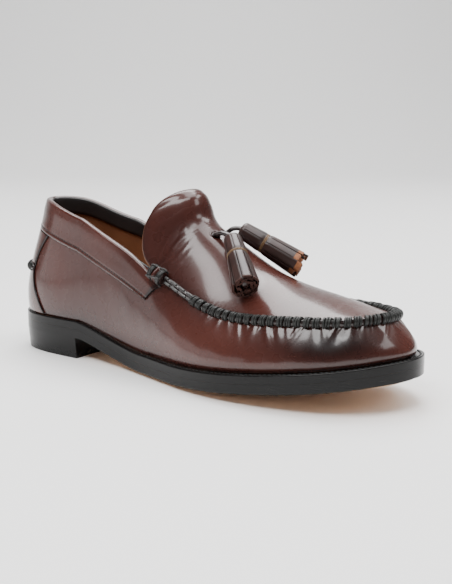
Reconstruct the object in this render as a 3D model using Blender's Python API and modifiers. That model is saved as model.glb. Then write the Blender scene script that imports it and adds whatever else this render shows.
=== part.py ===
"""Tassel loafer, right shoe, standing empty on its sole.

Run with: blender --background --python part.py

The toe points along +X, the wearer's left (the inner side of this right shoe) is +Y and up is +Z.
The origin is at the middle of the shoe's plan, on the floor. All lengths are metres.

The shoe's form comes from three short tables. AROUND goes once round the shoe and gives, for each
place, the sole's edge, the welt's reach, the rim (collar behind, moccasin seam in front) and the
two swells of the wall between them. APRON crowns the piece inside the moccasin seam, and TONGUE
crowns what rises behind it. STAY, TASSELS and TASSEL_FORM shape the smaller pieces. Every piece
that lies on the upper is worked out from the same functions.
"""

import bpy
import bmesh
import numpy as np

# Main sizes
LENGTH = 0.290
BALL_WIDTH = 0.1010
HEEL_HEIGHT = 0.0137
COLLAR_RISE = 0.0720
INSTEP_RISE = 0.0330
TONGUE_RISE = 0.1080

# Sole and heel
OUTSOLE = 0.0056
WELT = 0.0048
WELT_REACH = 0.0050
TOP_LIFT = 0.0042
TOE_SPRING = 0.0160
EDGE_LIFT = 0.0020
BREAST_ALONG = 0.0660
BREAST_CURVE = 0.0030
HEEL_TAPER = 0.0012
FLAT_START = 0.1280
FLAT_END = 0.1560
SPRING_POWER = 1.5
ARCH_START = 1.25
ARCH_POWER = 1.75
FLAT_SHARE = 0.35
NARROW = 0.0274
BREAST_FADE = 4
INSOLE = 0.0062

# Upper and the pieces on it
SWELL = 0.0050
WALL = 0.0022
GAP = 0.0003
BAND_DROP = 0.0193
BAND_THICK = 0.0012
BAND_END = 4.62
BAND_SLANT_FROM = 3.9
BAND_SLANT = 0.34
BAND_END_DROP = 0.12
STAY_THICK = 0.0010
STAY_FOOT = 0.0030
RIDGE_HIGH = 0.0046
RIDGE_PROUD = 0.0024
RIDGE_RISE = 0.0285
SEAM_HALF = 0.0019
SEAM_PROUD = 0.0022
SEAM_SHOULDER = 0.0013
SEAM_BASE_CLEAR = 0.00072
ROLL_RADIUS = 0.0042
ROLL_LONG = 0.0105
ROLL_HEIGHT = 0.93
TONGUE_THICK = 0.0024
LOW_HANDLE = 0.30
HIGH_HANDLE = 0.30
CROWN_POWER = 2.2
TONGUE_START = 0.012
LAP_SHARE = 0.07
LAP_WIDTH = 0.80
LAP_THICK = 0.0016

# Tassels
TASSEL_LONG = 0.0430
TASSEL_HEAD = 0.0052
TASSEL_END = 0.0080
TASSEL_STRIPS = 11
STRIP_RELIEF = 0.0012
STRIP_ROUND = 0.6
LACE_RADIUS = 0.0017
LACE_TAIL = 0.0026
HEAD_CLEAR = 0.0014
END_CLEAR = 0.0008
KNOT_STATION = 0.955
KNOT_SPREAD = 0.035

# Each row is one place round the shoe, from the heel's back along the outer side to the toe and
# home along the inner side. Along: share of LENGTH. Across: share of BALL_WIDTH. Reach: share of
# WELT_REACH. Rise: share of COLLAR_RISE above the welt. Bulge and roll: shares of SWELL.
AROUND_COLUMNS = ("edge_along", "edge_across", "reach", "rim_along", "rim_across", "rim_rise", "bulge", "roll")
AROUND = (
    (0.000, 0.000, 0.60, 0.0400, 0.000, 1.000, 1.00, 1.00),
    (0.034, -0.239, 0.52, 0.0900, -0.155, 0.985, 0.90, 1.00),
    (0.124, -0.333, 0.44, 0.1650, -0.225, 0.925, 0.70, 0.80),
    (0.248, -0.333, 0.44, 0.2600, -0.262, 0.850, 0.50, 0.60),
    (0.379, -0.348, 0.60, 0.3650, -0.280, 0.790, 0.60, 0.60),
    (0.510, -0.433, 0.84, 0.4800, -0.290, 0.640, 0.60, 1.00),
    (0.655, -0.507, 1.00, 0.6300, -0.330, 0.425, 0.70, 1.40),
    (0.800, -0.474, 1.00, 0.7800, -0.330, 0.365, 0.70, 1.20),
    (0.926, -0.333, 0.96, 0.8950, -0.222, 0.325, 0.60, 1.00),
    (1.000, 0.000, 0.92, 0.9420, 0.010, 0.310, 0.60, 0.90),
    (0.946, 0.310, 0.96, 0.9020, 0.238, 0.300, 0.60, 1.00),
    (0.833, 0.462, 1.00, 0.8010, 0.335, 0.350, 0.70, 1.20),
    (0.697, 0.504, 1.00, 0.6550, 0.345, 0.430, 0.70, 1.40),
    (0.534, 0.405, 0.80, 0.4900, 0.300, 0.650, 0.60, 1.00),
    (0.386, 0.306, 0.52, 0.3700, 0.280, 0.750, 0.80, 0.80),
    (0.248, 0.311, 0.44, 0.2600, 0.262, 0.795, 0.70, 0.70),
    (0.124, 0.331, 0.44, 0.1650, 0.225, 0.885, 0.70, 0.80),
    (0.034, 0.237, 0.52, 0.0900, 0.155, 0.985, 0.90, 1.00),
)

# Each row is one station of the apron, from the toe (0) to the throat (1). Crown: share of
# INSTEP_RISE. Lean: degrees forward of upright.
APRON_COLUMNS = ("station", "crown", "lean")
APRON = (
    (0.00, 0.00, 0.0),
    (0.12, 0.06, 2.0),
    (0.30, 0.16, 5.0),
    (0.50, 0.36, 10.0),
    (0.70, 0.62, 20.0),
    (0.86, 0.86, 33.0),
    (1.00, 1.00, 42.0),
)

# Each row is one station of the tongue, from the throat (0) to its top (1). Along: share of LENGTH
# from the throat. Half width: share of the throat's. Rise: share of the way from the throat's rim
# to TONGUE_RISE. Crown: share of INSTEP_RISE.
TONGUE_COLUMNS = ("station", "along", "half_width", "rise", "crown", "lean")
TONGUE = (
    (0.00, 0.000, 1.00, 0.00, 1.00, 42.0),
    (0.20, -0.026, 0.99, 0.17, 1.00, 46.0),
    (0.45, -0.036, 0.93, 0.44, 0.92, 51.0),
    (0.70, -0.032, 0.76, 0.71, 0.68, 56.0),
    (0.88, -0.020, 0.48, 0.91, 0.34, 60.0),
    (1.00, -0.010, 0.00, 1.00, 0.00, 60.0),
)

# Each row is one level of the back stay, from its foot (0) to the collar band (1). Half width: rows
# of AROUND to each side of the heel's back.
STAY_COLUMNS = ("station", "half_width")
STAY = (
    (0.00, 1.97),
    (0.18, 1.78),
    (0.36, 1.54),
    (0.56, 1.33),
    (0.80, 1.34),
    (1.00, 1.50),
)

# Each row is one tassel: its head and its end, as station and share across the apron.
TASSEL_COLUMNS = ("name", "head_station", "head_across", "end_station", "end_across")
TASSELS = (
    ("tassel_outer", 0.875, 0.42, 0.625, 0.13),
    ("tassel_inner", 0.915, 0.60, 0.672, 0.79),
)

# Each row is one level of a tassel, from its head (0) to its cut end (1). Radius: share of the way
# from TASSEL_HEAD to TASSEL_END. Relief: share of STRIP_RELIEF.
TASSEL_FORM_COLUMNS = ("station", "radius", "relief")
TASSEL_FORM = (
    (0.00, -0.90, 0.10),
    (0.03, -0.35, 0.25),
    (0.09, 0.00, 0.35),
    (0.36, 0.35, 0.45),
    (0.39, 0.10, 0.45),
    (0.42, 0.40, 0.80),
    (0.70, 0.75, 1.00),
    (0.97, 1.00, 1.00),
    (1.00, 0.92, 1.00),
)

# How finely the curved pieces are cut
ROWS = len(AROUND)
AROUND_STEPS = 72
WALL_STEPS = 7
APRON_STEPS_ACROSS = 12
THROAT_STEP = 17
TONGUE_STEPS = 10
SOLE_STEPS_ACROSS = 8
HEEL_STEPS = 12
FORE_STEPS = 26
BAND_STEPS = 18
BAND_STEPS_UP = 3
STAY_STEPS_ROUND = 14
STAY_STEPS_UP = 7
RIDGE_STEPS = 5
ROLL_STEPS = 6
LACE_STEPS = 21
STRIP_SIDES = 4
FINE_STEPS = 100
SMOOTH_ANGLE = 40
TOE_ROW = ROWS // 2
STEP = ROWS / AROUND_STEPS

# Small distances used for directions, and for joining points that meet
NEAR = 0.01
MEET = 1e-6


def column(table, columns, name):
    """One named column of a table, as an array."""
    return np.array([row[columns.index(name)] for row in table], dtype=float)


def closed_spline(values, places):
    """A smooth closed curve through values at 0, 1, 2 and so on, read at the given places."""
    count = len(values)
    matrix = 4 * np.eye(count) + np.roll(np.eye(count), 1, 0) + np.roll(np.eye(count), -1, 0)
    slopes = np.linalg.solve(matrix, 3 * (np.roll(values, -1) - np.roll(values, 1)))
    whole = np.floor(places).astype(int)
    part = places - whole
    here = whole % count
    there = (whole + 1) % count
    return (
        (2 * part**3 - 3 * part**2 + 1) * values[here]
        + (part**3 - 2 * part**2 + part) * slopes[here]
        + (3 * part**2 - 2 * part**3) * values[there]
        + (part**3 - part**2) * slopes[there]
    )


def open_spline(stations, values, places):
    """A smooth open curve through values at uneven stations, read at the given places."""
    slopes = np.gradient(values, stations)
    places = np.clip(places, stations[0], stations[-1])
    index = np.clip(np.searchsorted(stations, places, side="right") - 1, 0, len(stations) - 2)
    span = stations[index + 1] - stations[index]
    part = (places - stations[index]) / span
    return (
        (2 * part**3 - 3 * part**2 + 1) * values[index]
        + (part**3 - 2 * part**2 + part) * slopes[index] * span
        + (3 * part**2 - 2 * part**3) * values[index + 1]
        + (part**3 - part**2) * slopes[index + 1] * span
    )


def around(name, places):
    """A column of AROUND read smoothly round the shoe, as shares."""
    return closed_spline(column(AROUND, AROUND_COLUMNS, name), np.asarray(places, dtype=float))


def unit(vectors):
    """Vectors scaled to length one."""
    return vectors / np.linalg.norm(vectors, axis=-1, keepdims=True)


def edge_plan(places):
    """The sole's edge in plan: x from the heel's back, y from the middle line."""
    return np.stack((around("edge_along", places) * LENGTH, around("edge_across", places) * BALL_WIDTH), axis=-1)


def outward(places):
    """The plan's outward direction at places round the edge."""
    tangent = unit(edge_plan(np.asarray(places) + NEAR) - edge_plan(np.asarray(places) - NEAR))
    return np.stack((tangent[..., 1], -tangent[..., 0]), axis=-1)


def inset_plan(places, inset):
    """The sole's edge moved inwards in plan by a distance."""
    return edge_plan(places) - outward(places) * np.asarray(inset)[..., None]


def welt_reach(places):
    """How far the welt reaches out beyond the upper."""
    return around("reach", places) * WELT_REACH


def feather_plan(places):
    """Where the upper's outer face meets the welt, in plan."""
    return inset_plan(places, welt_reach(places))


def arch_rise(along):
    """How far the sole's underside stands off the floor: heel, arch, tread and toe spring."""
    waist = np.clip((along - BREAST_ALONG) / (FLAT_START - BREAST_ALONG), 0, 1)
    toe = np.clip((along - FLAT_END) / (LENGTH - FLAT_END), 0, None)
    return HEEL_HEIGHT * (1 - waist**ARCH_START) ** ARCH_POWER + TOE_SPRING * toe**SPRING_POWER


def edge_lift(along):
    """How much higher the sole's edges are than the middle of its rounded underside."""
    return EDGE_LIFT * np.clip((along - BREAST_ALONG) / (FLAT_START - BREAST_ALONG), 0, 1)


def seat(along):
    """The height of the welt's top."""
    return arch_rise(along) + edge_lift(along) + OUTSOLE + GAP + WELT


def rim(places):
    """The wall's top edge: the collar behind and the moccasin seam in front."""
    along = around("rim_along", places) * LENGTH
    across = around("rim_across", places) * BALL_WIDTH
    height = seat(along) + around("rim_rise", places) * COLLAR_RISE
    return np.stack((along, across, height), axis=-1)


def wall(places, heights):
    """The upper's outer face below its rim: heights run from 0 at the welt to 1 at the rim."""
    places, heights = np.broadcast_arrays(np.asarray(places, dtype=float), np.asarray(heights, dtype=float))
    plan = feather_plan(places)
    out = outward(places)
    foot = np.concatenate((plan, (seat(plan[..., 0]) + 2 * GAP)[..., None]), axis=-1)
    top = rim(places)
    tall = (top - foot)[..., 2]
    low = foot.copy()
    low[..., :2] += out * around("bulge", places)[..., None] * SWELL
    low[..., 2] += LOW_HANDLE * tall
    high = top.copy()
    high[..., :2] += out * around("roll", places)[..., None] * SWELL
    high[..., 2] -= HIGH_HANDLE * tall
    share = heights[..., None]
    return (
        (1 - share) ** 3 * foot
        + 3 * (1 - share) ** 2 * share * low
        + 3 * (1 - share) * share**2 * high
        + share**3 * top
    )


def wall_normal(places, heights):
    """The wall's outward direction."""
    places = np.asarray(places, dtype=float)
    heights = np.asarray(heights, dtype=float)
    along = wall(places + NEAR, heights) - wall(places - NEAR, heights)
    up = wall(places, heights + NEAR) - wall(places, heights - NEAR)
    return unit(np.cross(along, up))


def on_wall(places, heights, off):
    """Points a distance off the wall's outer face."""
    return wall(places, heights) + wall_normal(places, heights) * np.asarray(off)[..., None]


def share_below_rim(places, drop):
    """The wall height that lies a distance below the rim, measured down the wall."""
    shares = np.linspace(1, 0, FINE_STEPS + 1)
    found = []
    for place in np.atleast_1d(places):
        line = wall(place, shares)
        run = np.concatenate(([0], np.cumsum(np.linalg.norm(np.diff(line, axis=0), axis=1))))
        found.append(np.interp(drop, run, shares))
    return np.array(found)


def share_at_rise(places, rise):
    """The wall height that lies a rise above the welt."""
    shares = np.linspace(0, 1, FINE_STEPS + 1)
    found = []
    for place in np.atleast_1d(places):
        line = wall(place, shares)
        found.append(np.interp(rise, line[:, 2] - line[0, 2], shares))
    return np.array(found)


def arc(left, right, crown, lean, across):
    """Domed lines from left to right points, crowned by a height that leans forward."""
    across = np.asarray(across)[None, :, None]
    rise = 1 - np.abs(2 * across - 1) ** CROWN_POWER
    lean = np.radians(lean)
    direction = np.stack((np.sin(lean), np.zeros_like(lean), np.cos(lean)), axis=-1)
    chord = (1 - across) * left[:, None, :] + across * right[:, None, :]
    return chord + rise * (crown[:, None] * direction)[:, None, :]


def apron(stations, across):
    """The apron's outer face: stations run from the toe (0) to the throat (1)."""
    stations = np.asarray(stations, dtype=float)
    reach = stations * THROAT_STEP * STEP
    places = column(APRON, APRON_COLUMNS, "station")
    crown = open_spline(places, column(APRON, APRON_COLUMNS, "crown"), stations) * INSTEP_RISE
    lean = open_spline(places, column(APRON, APRON_COLUMNS, "lean"), stations)
    return arc(rim(TOE_ROW - reach), rim(TOE_ROW + reach), crown, lean, across)


def tongue_face(stations, across):
    """The tongue's outer face: stations run from the throat (0) to its top (1)."""
    stations = np.asarray(stations, dtype=float)
    places = column(TONGUE, TONGUE_COLUMNS, "station")

    def read(name):
        return open_spline(places, column(TONGUE, TONGUE_COLUMNS, name), stations)

    left = rim(np.array([TOE_ROW - THROAT_STEP * STEP]))[0]
    right = rim(np.array([TOE_ROW + THROAT_STEP * STEP]))[0]
    middle = (left + right) / 2
    half = (right - left) / 2
    base = middle + np.stack((read("along") * LENGTH, 0 * stations, read("rise") * (TONGUE_RISE - middle[2])), axis=-1)
    spread = half * read("half_width")[:, None]
    return arc(base - spread, base + spread, read("crown") * INSTEP_RISE, read("lean"), across)


def grid_normal(grid):
    """Directions square to a grid of points, from its two families of lines."""
    normal = np.cross(np.gradient(grid, axis=1), np.gradient(grid, axis=0))
    length = np.linalg.norm(normal, axis=-1, keepdims=True)
    return normal / np.maximum(length, MEET**2)


def origin_shift():
    """The move that puts the origin at the middle of the shoe's plan."""
    plan = edge_plan(np.linspace(0, ROWS, ROWS * FINE_STEPS + 1))
    ridge = share_at_rise(0.0, RIDGE_RISE)
    back = on_wall(np.zeros(1), ridge, 2 * GAP + STAY_THICK + RIDGE_PROUD)[0, 0]
    rear = min(plan[:, 0].min(), back)
    return np.array([-(rear + plan[:, 0].max()) / 2, -(plan[:, 1].min() + plan[:, 1].max()) / 2, 0.0])


def material(name, colour, roughness, metallic=0.0):
    """A plain Principled material."""
    made = bpy.data.materials.new(name)
    made.use_nodes = True
    shader = made.node_tree.nodes["Principled BSDF"]
    shader.inputs["Base Color"].default_value = (*colour, 1.0)
    shader.inputs["Roughness"].default_value = roughness
    shader.inputs["Metallic"].default_value = metallic
    return made


def new_object(name, mesh, collection, surface):
    """An object with a mesh and a material, in the shoe's collection."""
    made = bpy.data.objects.new(name, mesh)
    collection.objects.link(made)
    mesh.materials.append(surface)
    mesh.shade_smooth()
    mesh.set_sharp_from_angle(angle=np.radians(SMOOTH_ANGLE))
    return made


def add_grid(form, grid, closed=False):
    """Add a grid of points to a bmesh as quads: the first family of lines crosses the second."""
    rows = [[form.verts.new(point) for point in line] for line in grid]
    if closed:
        rows.append(rows[0])
    for low, high in zip(rows[:-1], rows[1:]):
        for index in range(len(low) - 1):
            form.faces.new((low[index], high[index], high[index + 1], low[index + 1]))


def loft(name, sections, collection, surface, closed=False):
    """A solid skinned over closed sections, each listed out along one side and back along the other."""
    form = bmesh.new()
    rings = [[form.verts.new(point) for point in section] for section in sections]
    size = len(rings[0])
    pairs = list(zip(rings[:-1], rings[1:]))
    if closed:
        pairs.append((rings[-1], rings[0]))
    for low, high in pairs:
        for index in range(size):
            after = (index + 1) % size
            form.faces.new((low[index], low[after], high[after], high[index]))
    if not closed:
        for ring in (rings[0], rings[-1]):
            for index in range(size // 2 - 1):
                form.faces.new((ring[index], ring[index + 1], ring[size - 2 - index], ring[size - 1 - index]))
    bmesh.ops.remove_doubles(form, verts=form.verts, dist=MEET)
    bmesh.ops.dissolve_degenerate(form, edges=form.edges, dist=MEET / 10)
    bmesh.ops.triangulate(form, faces=[face for face in form.faces if len(face.verts) > 3])
    bmesh.ops.recalc_face_normals(form, faces=form.faces)
    mesh = bpy.data.meshes.new(name)
    form.to_mesh(mesh)
    form.free()
    return new_object(name, mesh, collection, surface)


def ladder(first, last, shares):
    """Points across the shoe between two lists of plan points."""
    shares = np.asarray(shares)[None, :, None]
    return (1 - shares) * first[:, None, :] + shares * last[:, None, :]


def breast_places():
    """Where the heel's breast line meets the edge, on the outer and the inner side."""
    outer = np.linspace(0, TOE_ROW, TOE_ROW * FINE_STEPS + 1)
    inner = ROWS - outer
    return (
        np.interp(BREAST_ALONG, edge_plan(outer)[:, 0], outer),
        np.interp(BREAST_ALONG, edge_plan(inner)[:, 0], inner),
    )


def sole_places():
    """Paired places on the outer and inner side, with one section on the heel's breast line."""
    outer_end, inner_end = breast_places()
    heel = np.linspace(0, 1, HEEL_STEPS + 1)
    fore = np.linspace(0, 1, FORE_STEPS + 1)[1:]
    outer = np.concatenate((outer_end * heel, outer_end + (TOE_ROW - outer_end) * fore))
    inner = np.concatenate((ROWS + (inner_end - ROWS) * heel, inner_end + (TOE_ROW - inner_end) * fore))
    return outer, inner


def plate_sections(places, inset, bottom, top):
    """Sections of a plate across the sole, from the heel's back forward.

    Args:
        places: Places on the outer side, each paired with its mirror place on the inner side.
        inset: How far the plate's outline lies inside the sole's edge.
        bottom: The underside's height for x, share across and width.
        top: The top's height for x.
    """
    shares = np.linspace(0, 1, SOLE_STEPS_ACROSS + 1)
    outer, inner = places
    plan = ladder(inset_plan(outer, inset(outer)), inset_plan(inner, inset(inner)), shares)
    wide = np.linalg.norm(plan[:, -1] - plan[:, 0], axis=1)
    low = np.concatenate((plan, bottom(plan[..., 0], shares, wide)[..., None]), axis=-1)
    high = np.concatenate((plan, top(plan[..., 0])[..., None]), axis=-1)
    return np.concatenate((low, high[:, ::-1]), axis=1)


def belly(along, shares, wide):
    """How much of the edge's lift an underside has at a share across: none on its flat middle.

    Args:
        along: The points' distances from the heel's back.
        shares: Their shares across.
        wide: The sole's width at each section; towards its ends the whole width is edge.
    """
    inside = 1 - np.clip((np.abs(2 * shares - 1) - FLAT_SHARE) / (1 - FLAT_SHARE), 0, 1) ** 2
    return edge_lift(along) * (1 - inside[None, :] * np.clip(wide / NARROW, 0, 1)[:, None])


def make_outsole(collection, surface, shift):
    """The leather outsole, from the heel seat through the arch and tread to the toe."""
    sections = plate_sections(
        sole_places(),
        lambda places: 0 * places,
        lambda along, shares, wide: arch_rise(along) + belly(along, shares, wide),
        lambda along: arch_rise(along) + edge_lift(along) + OUTSOLE,
    )
    return loft("outsole", sections + shift, collection, surface)


def make_welt(collection, surface, shift):
    """The welt: a closed strip between outsole and upper, as wide as its reach and the wall."""
    outer_side, inner_side = sole_places()
    places = np.concatenate((outer_side, inner_side[-2:0:-1]))
    outer = edge_plan(places)
    inner = inset_plan(places, welt_reach(places) + WALL)

    def at(plan, height):
        return np.concatenate((plan, height[:, None]), axis=1)

    low = arch_rise(outer[:, 0]) + edge_lift(outer[:, 0]) + OUTSOLE + GAP
    low_inner = arch_rise(inner[:, 0]) + edge_lift(inner[:, 0]) + OUTSOLE + GAP
    sections = np.stack(
        (at(outer, low), at(outer, low + WELT), at(inner, low_inner + WELT), at(inner, low_inner)), axis=1
    )
    return loft("welt", sections + shift, collection, surface, closed=True)


def make_heel_layer(name, bottom, top, collection, surface, shift):
    """One layer of the heel between two heights, tapered in towards the floor."""
    outer_end, inner_end = breast_places()
    shares = np.linspace(0, 1, HEEL_STEPS + 1)
    outer = outer_end * shares
    inner = ROWS + (inner_end - ROWS) * shares
    across = np.linspace(0, 1, SOLE_STEPS_ACROSS + 1)
    curve = BREAST_CURVE * (1 - (2 * across - 1) ** 2)
    levels = []
    for height in (bottom, top):
        inset = HEEL_TAPER * (1 - height / HEEL_HEIGHT)
        plan = ladder(inset_plan(outer, inset + 0 * outer), inset_plan(inner, inset + 0 * inner), across)
        plan[..., 0] -= shares[:, None] ** BREAST_FADE * curve[None, :]
        levels.append(np.concatenate((plan, np.full(plan.shape[:2] + (1,), height)), axis=-1))
    sections = np.concatenate((levels[0], levels[1][:, ::-1]), axis=1)
    return loft(name, sections + shift, collection, surface)


def make_insole(collection, surface, shift):
    """The insole: a plate on the outsole, inside the welt and the upper's wall."""

    def floor(along):
        return arch_rise(along) + edge_lift(along) + OUTSOLE + GAP

    sections = plate_sections(
        sole_places(),
        lambda places: welt_reach(places) + WALL + 2 * GAP,
        lambda along, shares, wide: floor(along),
        lambda along: floor(along) + INSOLE,
    )
    return loft("insole", sections + shift, collection, surface)


def apron_grid():
    """The apron's points from the toe to the throat, closer together at the seam."""
    stations = np.arange(THROAT_STEP + 1) / THROAT_STEP
    across = (1 - np.cos(np.linspace(0, np.pi, APRON_STEPS_ACROSS + 1))) / 2
    across = 0.5 * across + 0.5 * np.linspace(0, 1, APRON_STEPS_ACROSS + 1)
    return apron(stations, across)


def make_upper(collection, surface, shift):
    """The upper: wall and apron as one open surface, thickened inwards to the leather's wall."""
    places = np.arange(AROUND_STEPS) * STEP
    heights = np.linspace(0, 1, WALL_STEPS + 1)
    form = bmesh.new()
    add_grid(form, wall(places[:, None], heights[None, :]) + shift, closed=True)
    add_grid(form, (apron_grid() + shift).transpose(1, 0, 2))
    bmesh.ops.remove_doubles(form, verts=form.verts, dist=MEET)
    bmesh.ops.dissolve_degenerate(form, edges=form.edges, dist=MEET / 10)
    mesh = bpy.data.meshes.new("upper")
    form.to_mesh(mesh)
    form.free()
    upper = new_object("upper", mesh, collection, surface)
    shell = upper.modifiers.new("wall", "SOLIDIFY")
    shell.thickness = WALL
    shell.offset = -1
    shell.use_even_offset = True
    return upper


def strip_on_wall(name, places, heights, thick, collection, surface, shift):
    """A flat strip on the wall, over a grid of places and heights, with its ends closed."""
    inner = on_wall(places, heights, np.full(places.shape, GAP))
    outer = on_wall(places, heights, np.full(places.shape, GAP + thick))
    sections = np.concatenate((inner, outer[:, ::-1]), axis=1)
    return loft(name, sections + shift, collection, surface)


def make_collar_band(collection, surface, shift):
    """The band sewn round the collar, a constant drop below the rim, its ends cut on a slant."""
    turns = np.linspace(-BAND_END, BAND_END, 2 * BAND_STEPS + 1)
    low = share_below_rim(turns, BAND_DROP)
    end = np.clip((np.abs(turns) - BAND_SLANT_FROM) / (BAND_END - BAND_SLANT_FROM), 0, 1)
    high = 1 - BAND_END_DROP * end**2
    shares = np.linspace(0, 1, BAND_STEPS_UP + 1)
    heights = low[:, None] + (high - low)[:, None] * shares
    places = turns[:, None] + np.sign(turns)[:, None] * end[:, None] * BAND_SLANT * shares
    return strip_on_wall("collar_band", places, heights, BAND_THICK, collection, surface, shift)


def make_back_stay(collection, surface, shift):
    """The stay over the heel's back, from the welt to the collar band, narrowest at its seam."""
    stations = np.linspace(0, 1, STAY_STEPS_UP + 1)
    half = open_spline(
        column(STAY, STAY_COLUMNS, "station"), column(STAY, STAY_COLUMNS, "half_width"), stations
    )
    shares = np.linspace(-1, 1, STAY_STEPS_ROUND + 1)
    places = shares[:, None] * half
    low = share_at_rise(0.0, STAY_FOOT)
    high = share_below_rim(places.ravel(), BAND_DROP + GAP).reshape(places.shape)
    heights = low + (high - low) * stations
    return strip_on_wall("back_stay", places, heights, STAY_THICK, collection, surface, shift)


def make_heel_seam(collection, surface, shift):
    """The raised whipped seam that crosses the back stay, rounded in section."""
    half = column(STAY, STAY_COLUMNS, "half_width").min()
    places = np.linspace(-half, half, STAY_STEPS_ROUND + 1)
    turn = np.linspace(0, np.pi, RIDGE_STEPS + 1)
    base = 2 * GAP + STAY_THICK
    height = share_at_rise(places, RIDGE_RISE)
    scale = share_at_rise(places, RIDGE_RISE + RIDGE_HIGH / 2) - share_at_rise(places, RIDGE_RISE - RIDGE_HIGH / 2)
    heights = height[:, None] - np.cos(turn)[None, :] * scale[:, None] / 2
    grid = np.repeat(places[:, None], len(turn), axis=1)
    off = base + RIDGE_PROUD * np.sin(turn)
    return loft("heel_seam", on_wall(grid, heights, off[None, :] + 0 * grid) + shift, collection, surface)


def seam_frame(places):
    """The rim's points with the directions down the wall, in over the apron and off both."""
    points = rim(places)
    tangent = unit(rim(places + NEAR) - rim(places - NEAR))
    normal_wall = wall_normal(places, np.full(len(places), 1 - NEAR))
    down = unit(np.cross(normal_wall, tangent))
    down *= np.where(down[:, 2:] > 0, -1, 1)
    grid = apron_grid()
    square = grid_normal(grid)
    square[0] = square[1]
    step = np.round(np.abs(places - TOE_ROW) / STEP).astype(int)
    side = np.where(places <= TOE_ROW, 0, -1)
    normal_apron = square[step, side]
    normal_apron *= np.where(normal_apron[:, 2:] < 0, -1, 1)
    inward = unit(np.cross(tangent, normal_apron))
    inward *= np.where(np.sum(inward * down, axis=1, keepdims=True) > 0, -1, 1)
    return points, down, inward, normal_wall, normal_apron


def make_moc_seam(collection, surface, shift):
    """The raised moccasin seam that stands on the crease between wall and apron."""
    reach = (THROAT_STEP - 1) * STEP
    places = np.arange(TOE_ROW - reach, TOE_ROW + reach + STEP / 2, STEP)
    points, down, inward, normal_wall, normal_apron = seam_frame(places)
    middle = unit(normal_wall + normal_apron)
    clear = 2 * GAP
    foot_wall = points + down * SEAM_HALF + normal_wall * clear
    foot_apron = points + inward * SEAM_HALF + normal_apron * clear
    base = points + middle * SEAM_BASE_CLEAR
    top = points + middle * (clear + SEAM_PROUD)
    sections = np.stack(
        (
            foot_wall,
            base,
            foot_apron,
            foot_apron + normal_apron * SEAM_SHOULDER,
            top,
            foot_wall + normal_wall * SEAM_SHOULDER,
        ),
        axis=1,
    )
    return loft("moc_seam", sections + shift, collection, surface)


def tube(name, points, radius, collection, surface):
    """A capped tube through points, as a curve object."""
    curve = bpy.data.curves.new(name, "CURVE")
    curve.dimensions = "3D"
    line = curve.splines.new("POLY")
    line.points.add(len(points) - 1)
    for point, place in zip(line.points, points):
        point.co = (*place, 1.0)
    curve.bevel_depth = radius
    curve.bevel_resolution = 2
    curve.use_fill_caps = True
    curve.materials.append(surface)
    made = bpy.data.objects.new(name, curve)
    collection.objects.link(made)
    return made


def make_roll(name, place, collection, surface, shift):
    """The bound roll where the moccasin seam, collar and tongue meet, outside the wall."""
    places = np.array([place])
    centre = on_wall(places, ROLL_HEIGHT, np.array([ROLL_RADIUS + BAND_THICK + 3 * GAP]))[0]
    ahead = unit(rim(places + NEAR) - rim(places - NEAR))[0]
    shares = np.linspace(-0.5, 0.5, ROLL_STEPS + 1)
    points = centre + shift + ahead * shares[:, None] * ROLL_LONG
    return tube(name, points, ROLL_RADIUS, collection, surface)


def make_tongue(collection, surface, shift):
    """The tongue, in line with the apron above the throat and lapped under it below."""
    turn = np.linspace(0, np.pi / 2, TONGUE_STEPS + 1)
    stations = TONGUE_START + (1 - TONGUE_START) * np.sin(turn)
    across = np.linspace(0, 1, APRON_STEPS_ACROSS + 1)
    face = tongue_face(stations, across)
    normal = grid_normal(face)
    normal[-1] = unit(normal[-2].mean(axis=0))
    lap_across = 0.5 + (across - 0.5) * LAP_WIDTH
    lap_face = apron(1 - LAP_SHARE * np.linspace(1, 0, 3), lap_across)
    lap_normal = grid_normal(lap_face)
    under = WALL + 2 * GAP
    outer = np.concatenate((lap_face - lap_normal * under, face))
    inner = np.concatenate((lap_face - lap_normal * (under + LAP_THICK), face - normal * TONGUE_THICK))
    sections = np.concatenate((outer, inner[::-1]), axis=0).transpose(1, 0, 2)
    return loft("tongue", sections + shift, collection, surface)


def apron_point(station, across, off):
    """A point a distance off the apron's outer face."""
    steps = NEAR * np.array([-1.0, 0.0, 1.0])
    grid = apron(station + steps, across + steps)
    normal = np.cross(grid[1, 2] - grid[1, 0], grid[2, 1] - grid[0, 1])
    return grid[1, 1] + unit(normal) * off


def tassel_ends(row):
    """A tassel's head and end, lying on the apron."""
    _, head_station, head_across, end_station, end_across = row
    head = apron_point(head_station, head_across, TASSEL_HEAD + HEAD_CLEAR)
    end = apron_point(end_station, end_across, TASSEL_END + END_CLEAR)
    return head, head + unit(end - head) * TASSEL_LONG


def make_tassel(name, head, end, collection, surface, shift):
    """A rolled fringe of leather strips, pinched where its cord ties it, as one solid."""
    ahead = unit(end - head)
    side = unit(np.cross(ahead, (0.0, 0.0, 1.0)))
    up = np.cross(side, ahead)
    turns = np.linspace(0, 2 * np.pi, TASSEL_STRIPS * STRIP_SIDES, endpoint=False)
    ridge = np.abs(np.sin(turns * TASSEL_STRIPS / 2)) ** STRIP_ROUND
    rings = []
    for station, radius, relief in TASSEL_FORM:
        reach = TASSEL_HEAD + (TASSEL_END - TASSEL_HEAD) * radius
        reach = reach - STRIP_RELIEF * relief * (1 - ridge)
        centre = head + (end - head) * station
        rings.append(centre + reach[:, None] * (np.cos(turns)[:, None] * side + np.sin(turns)[:, None] * up))
    return loft(name, np.array(rings) + shift, collection, surface)


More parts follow.
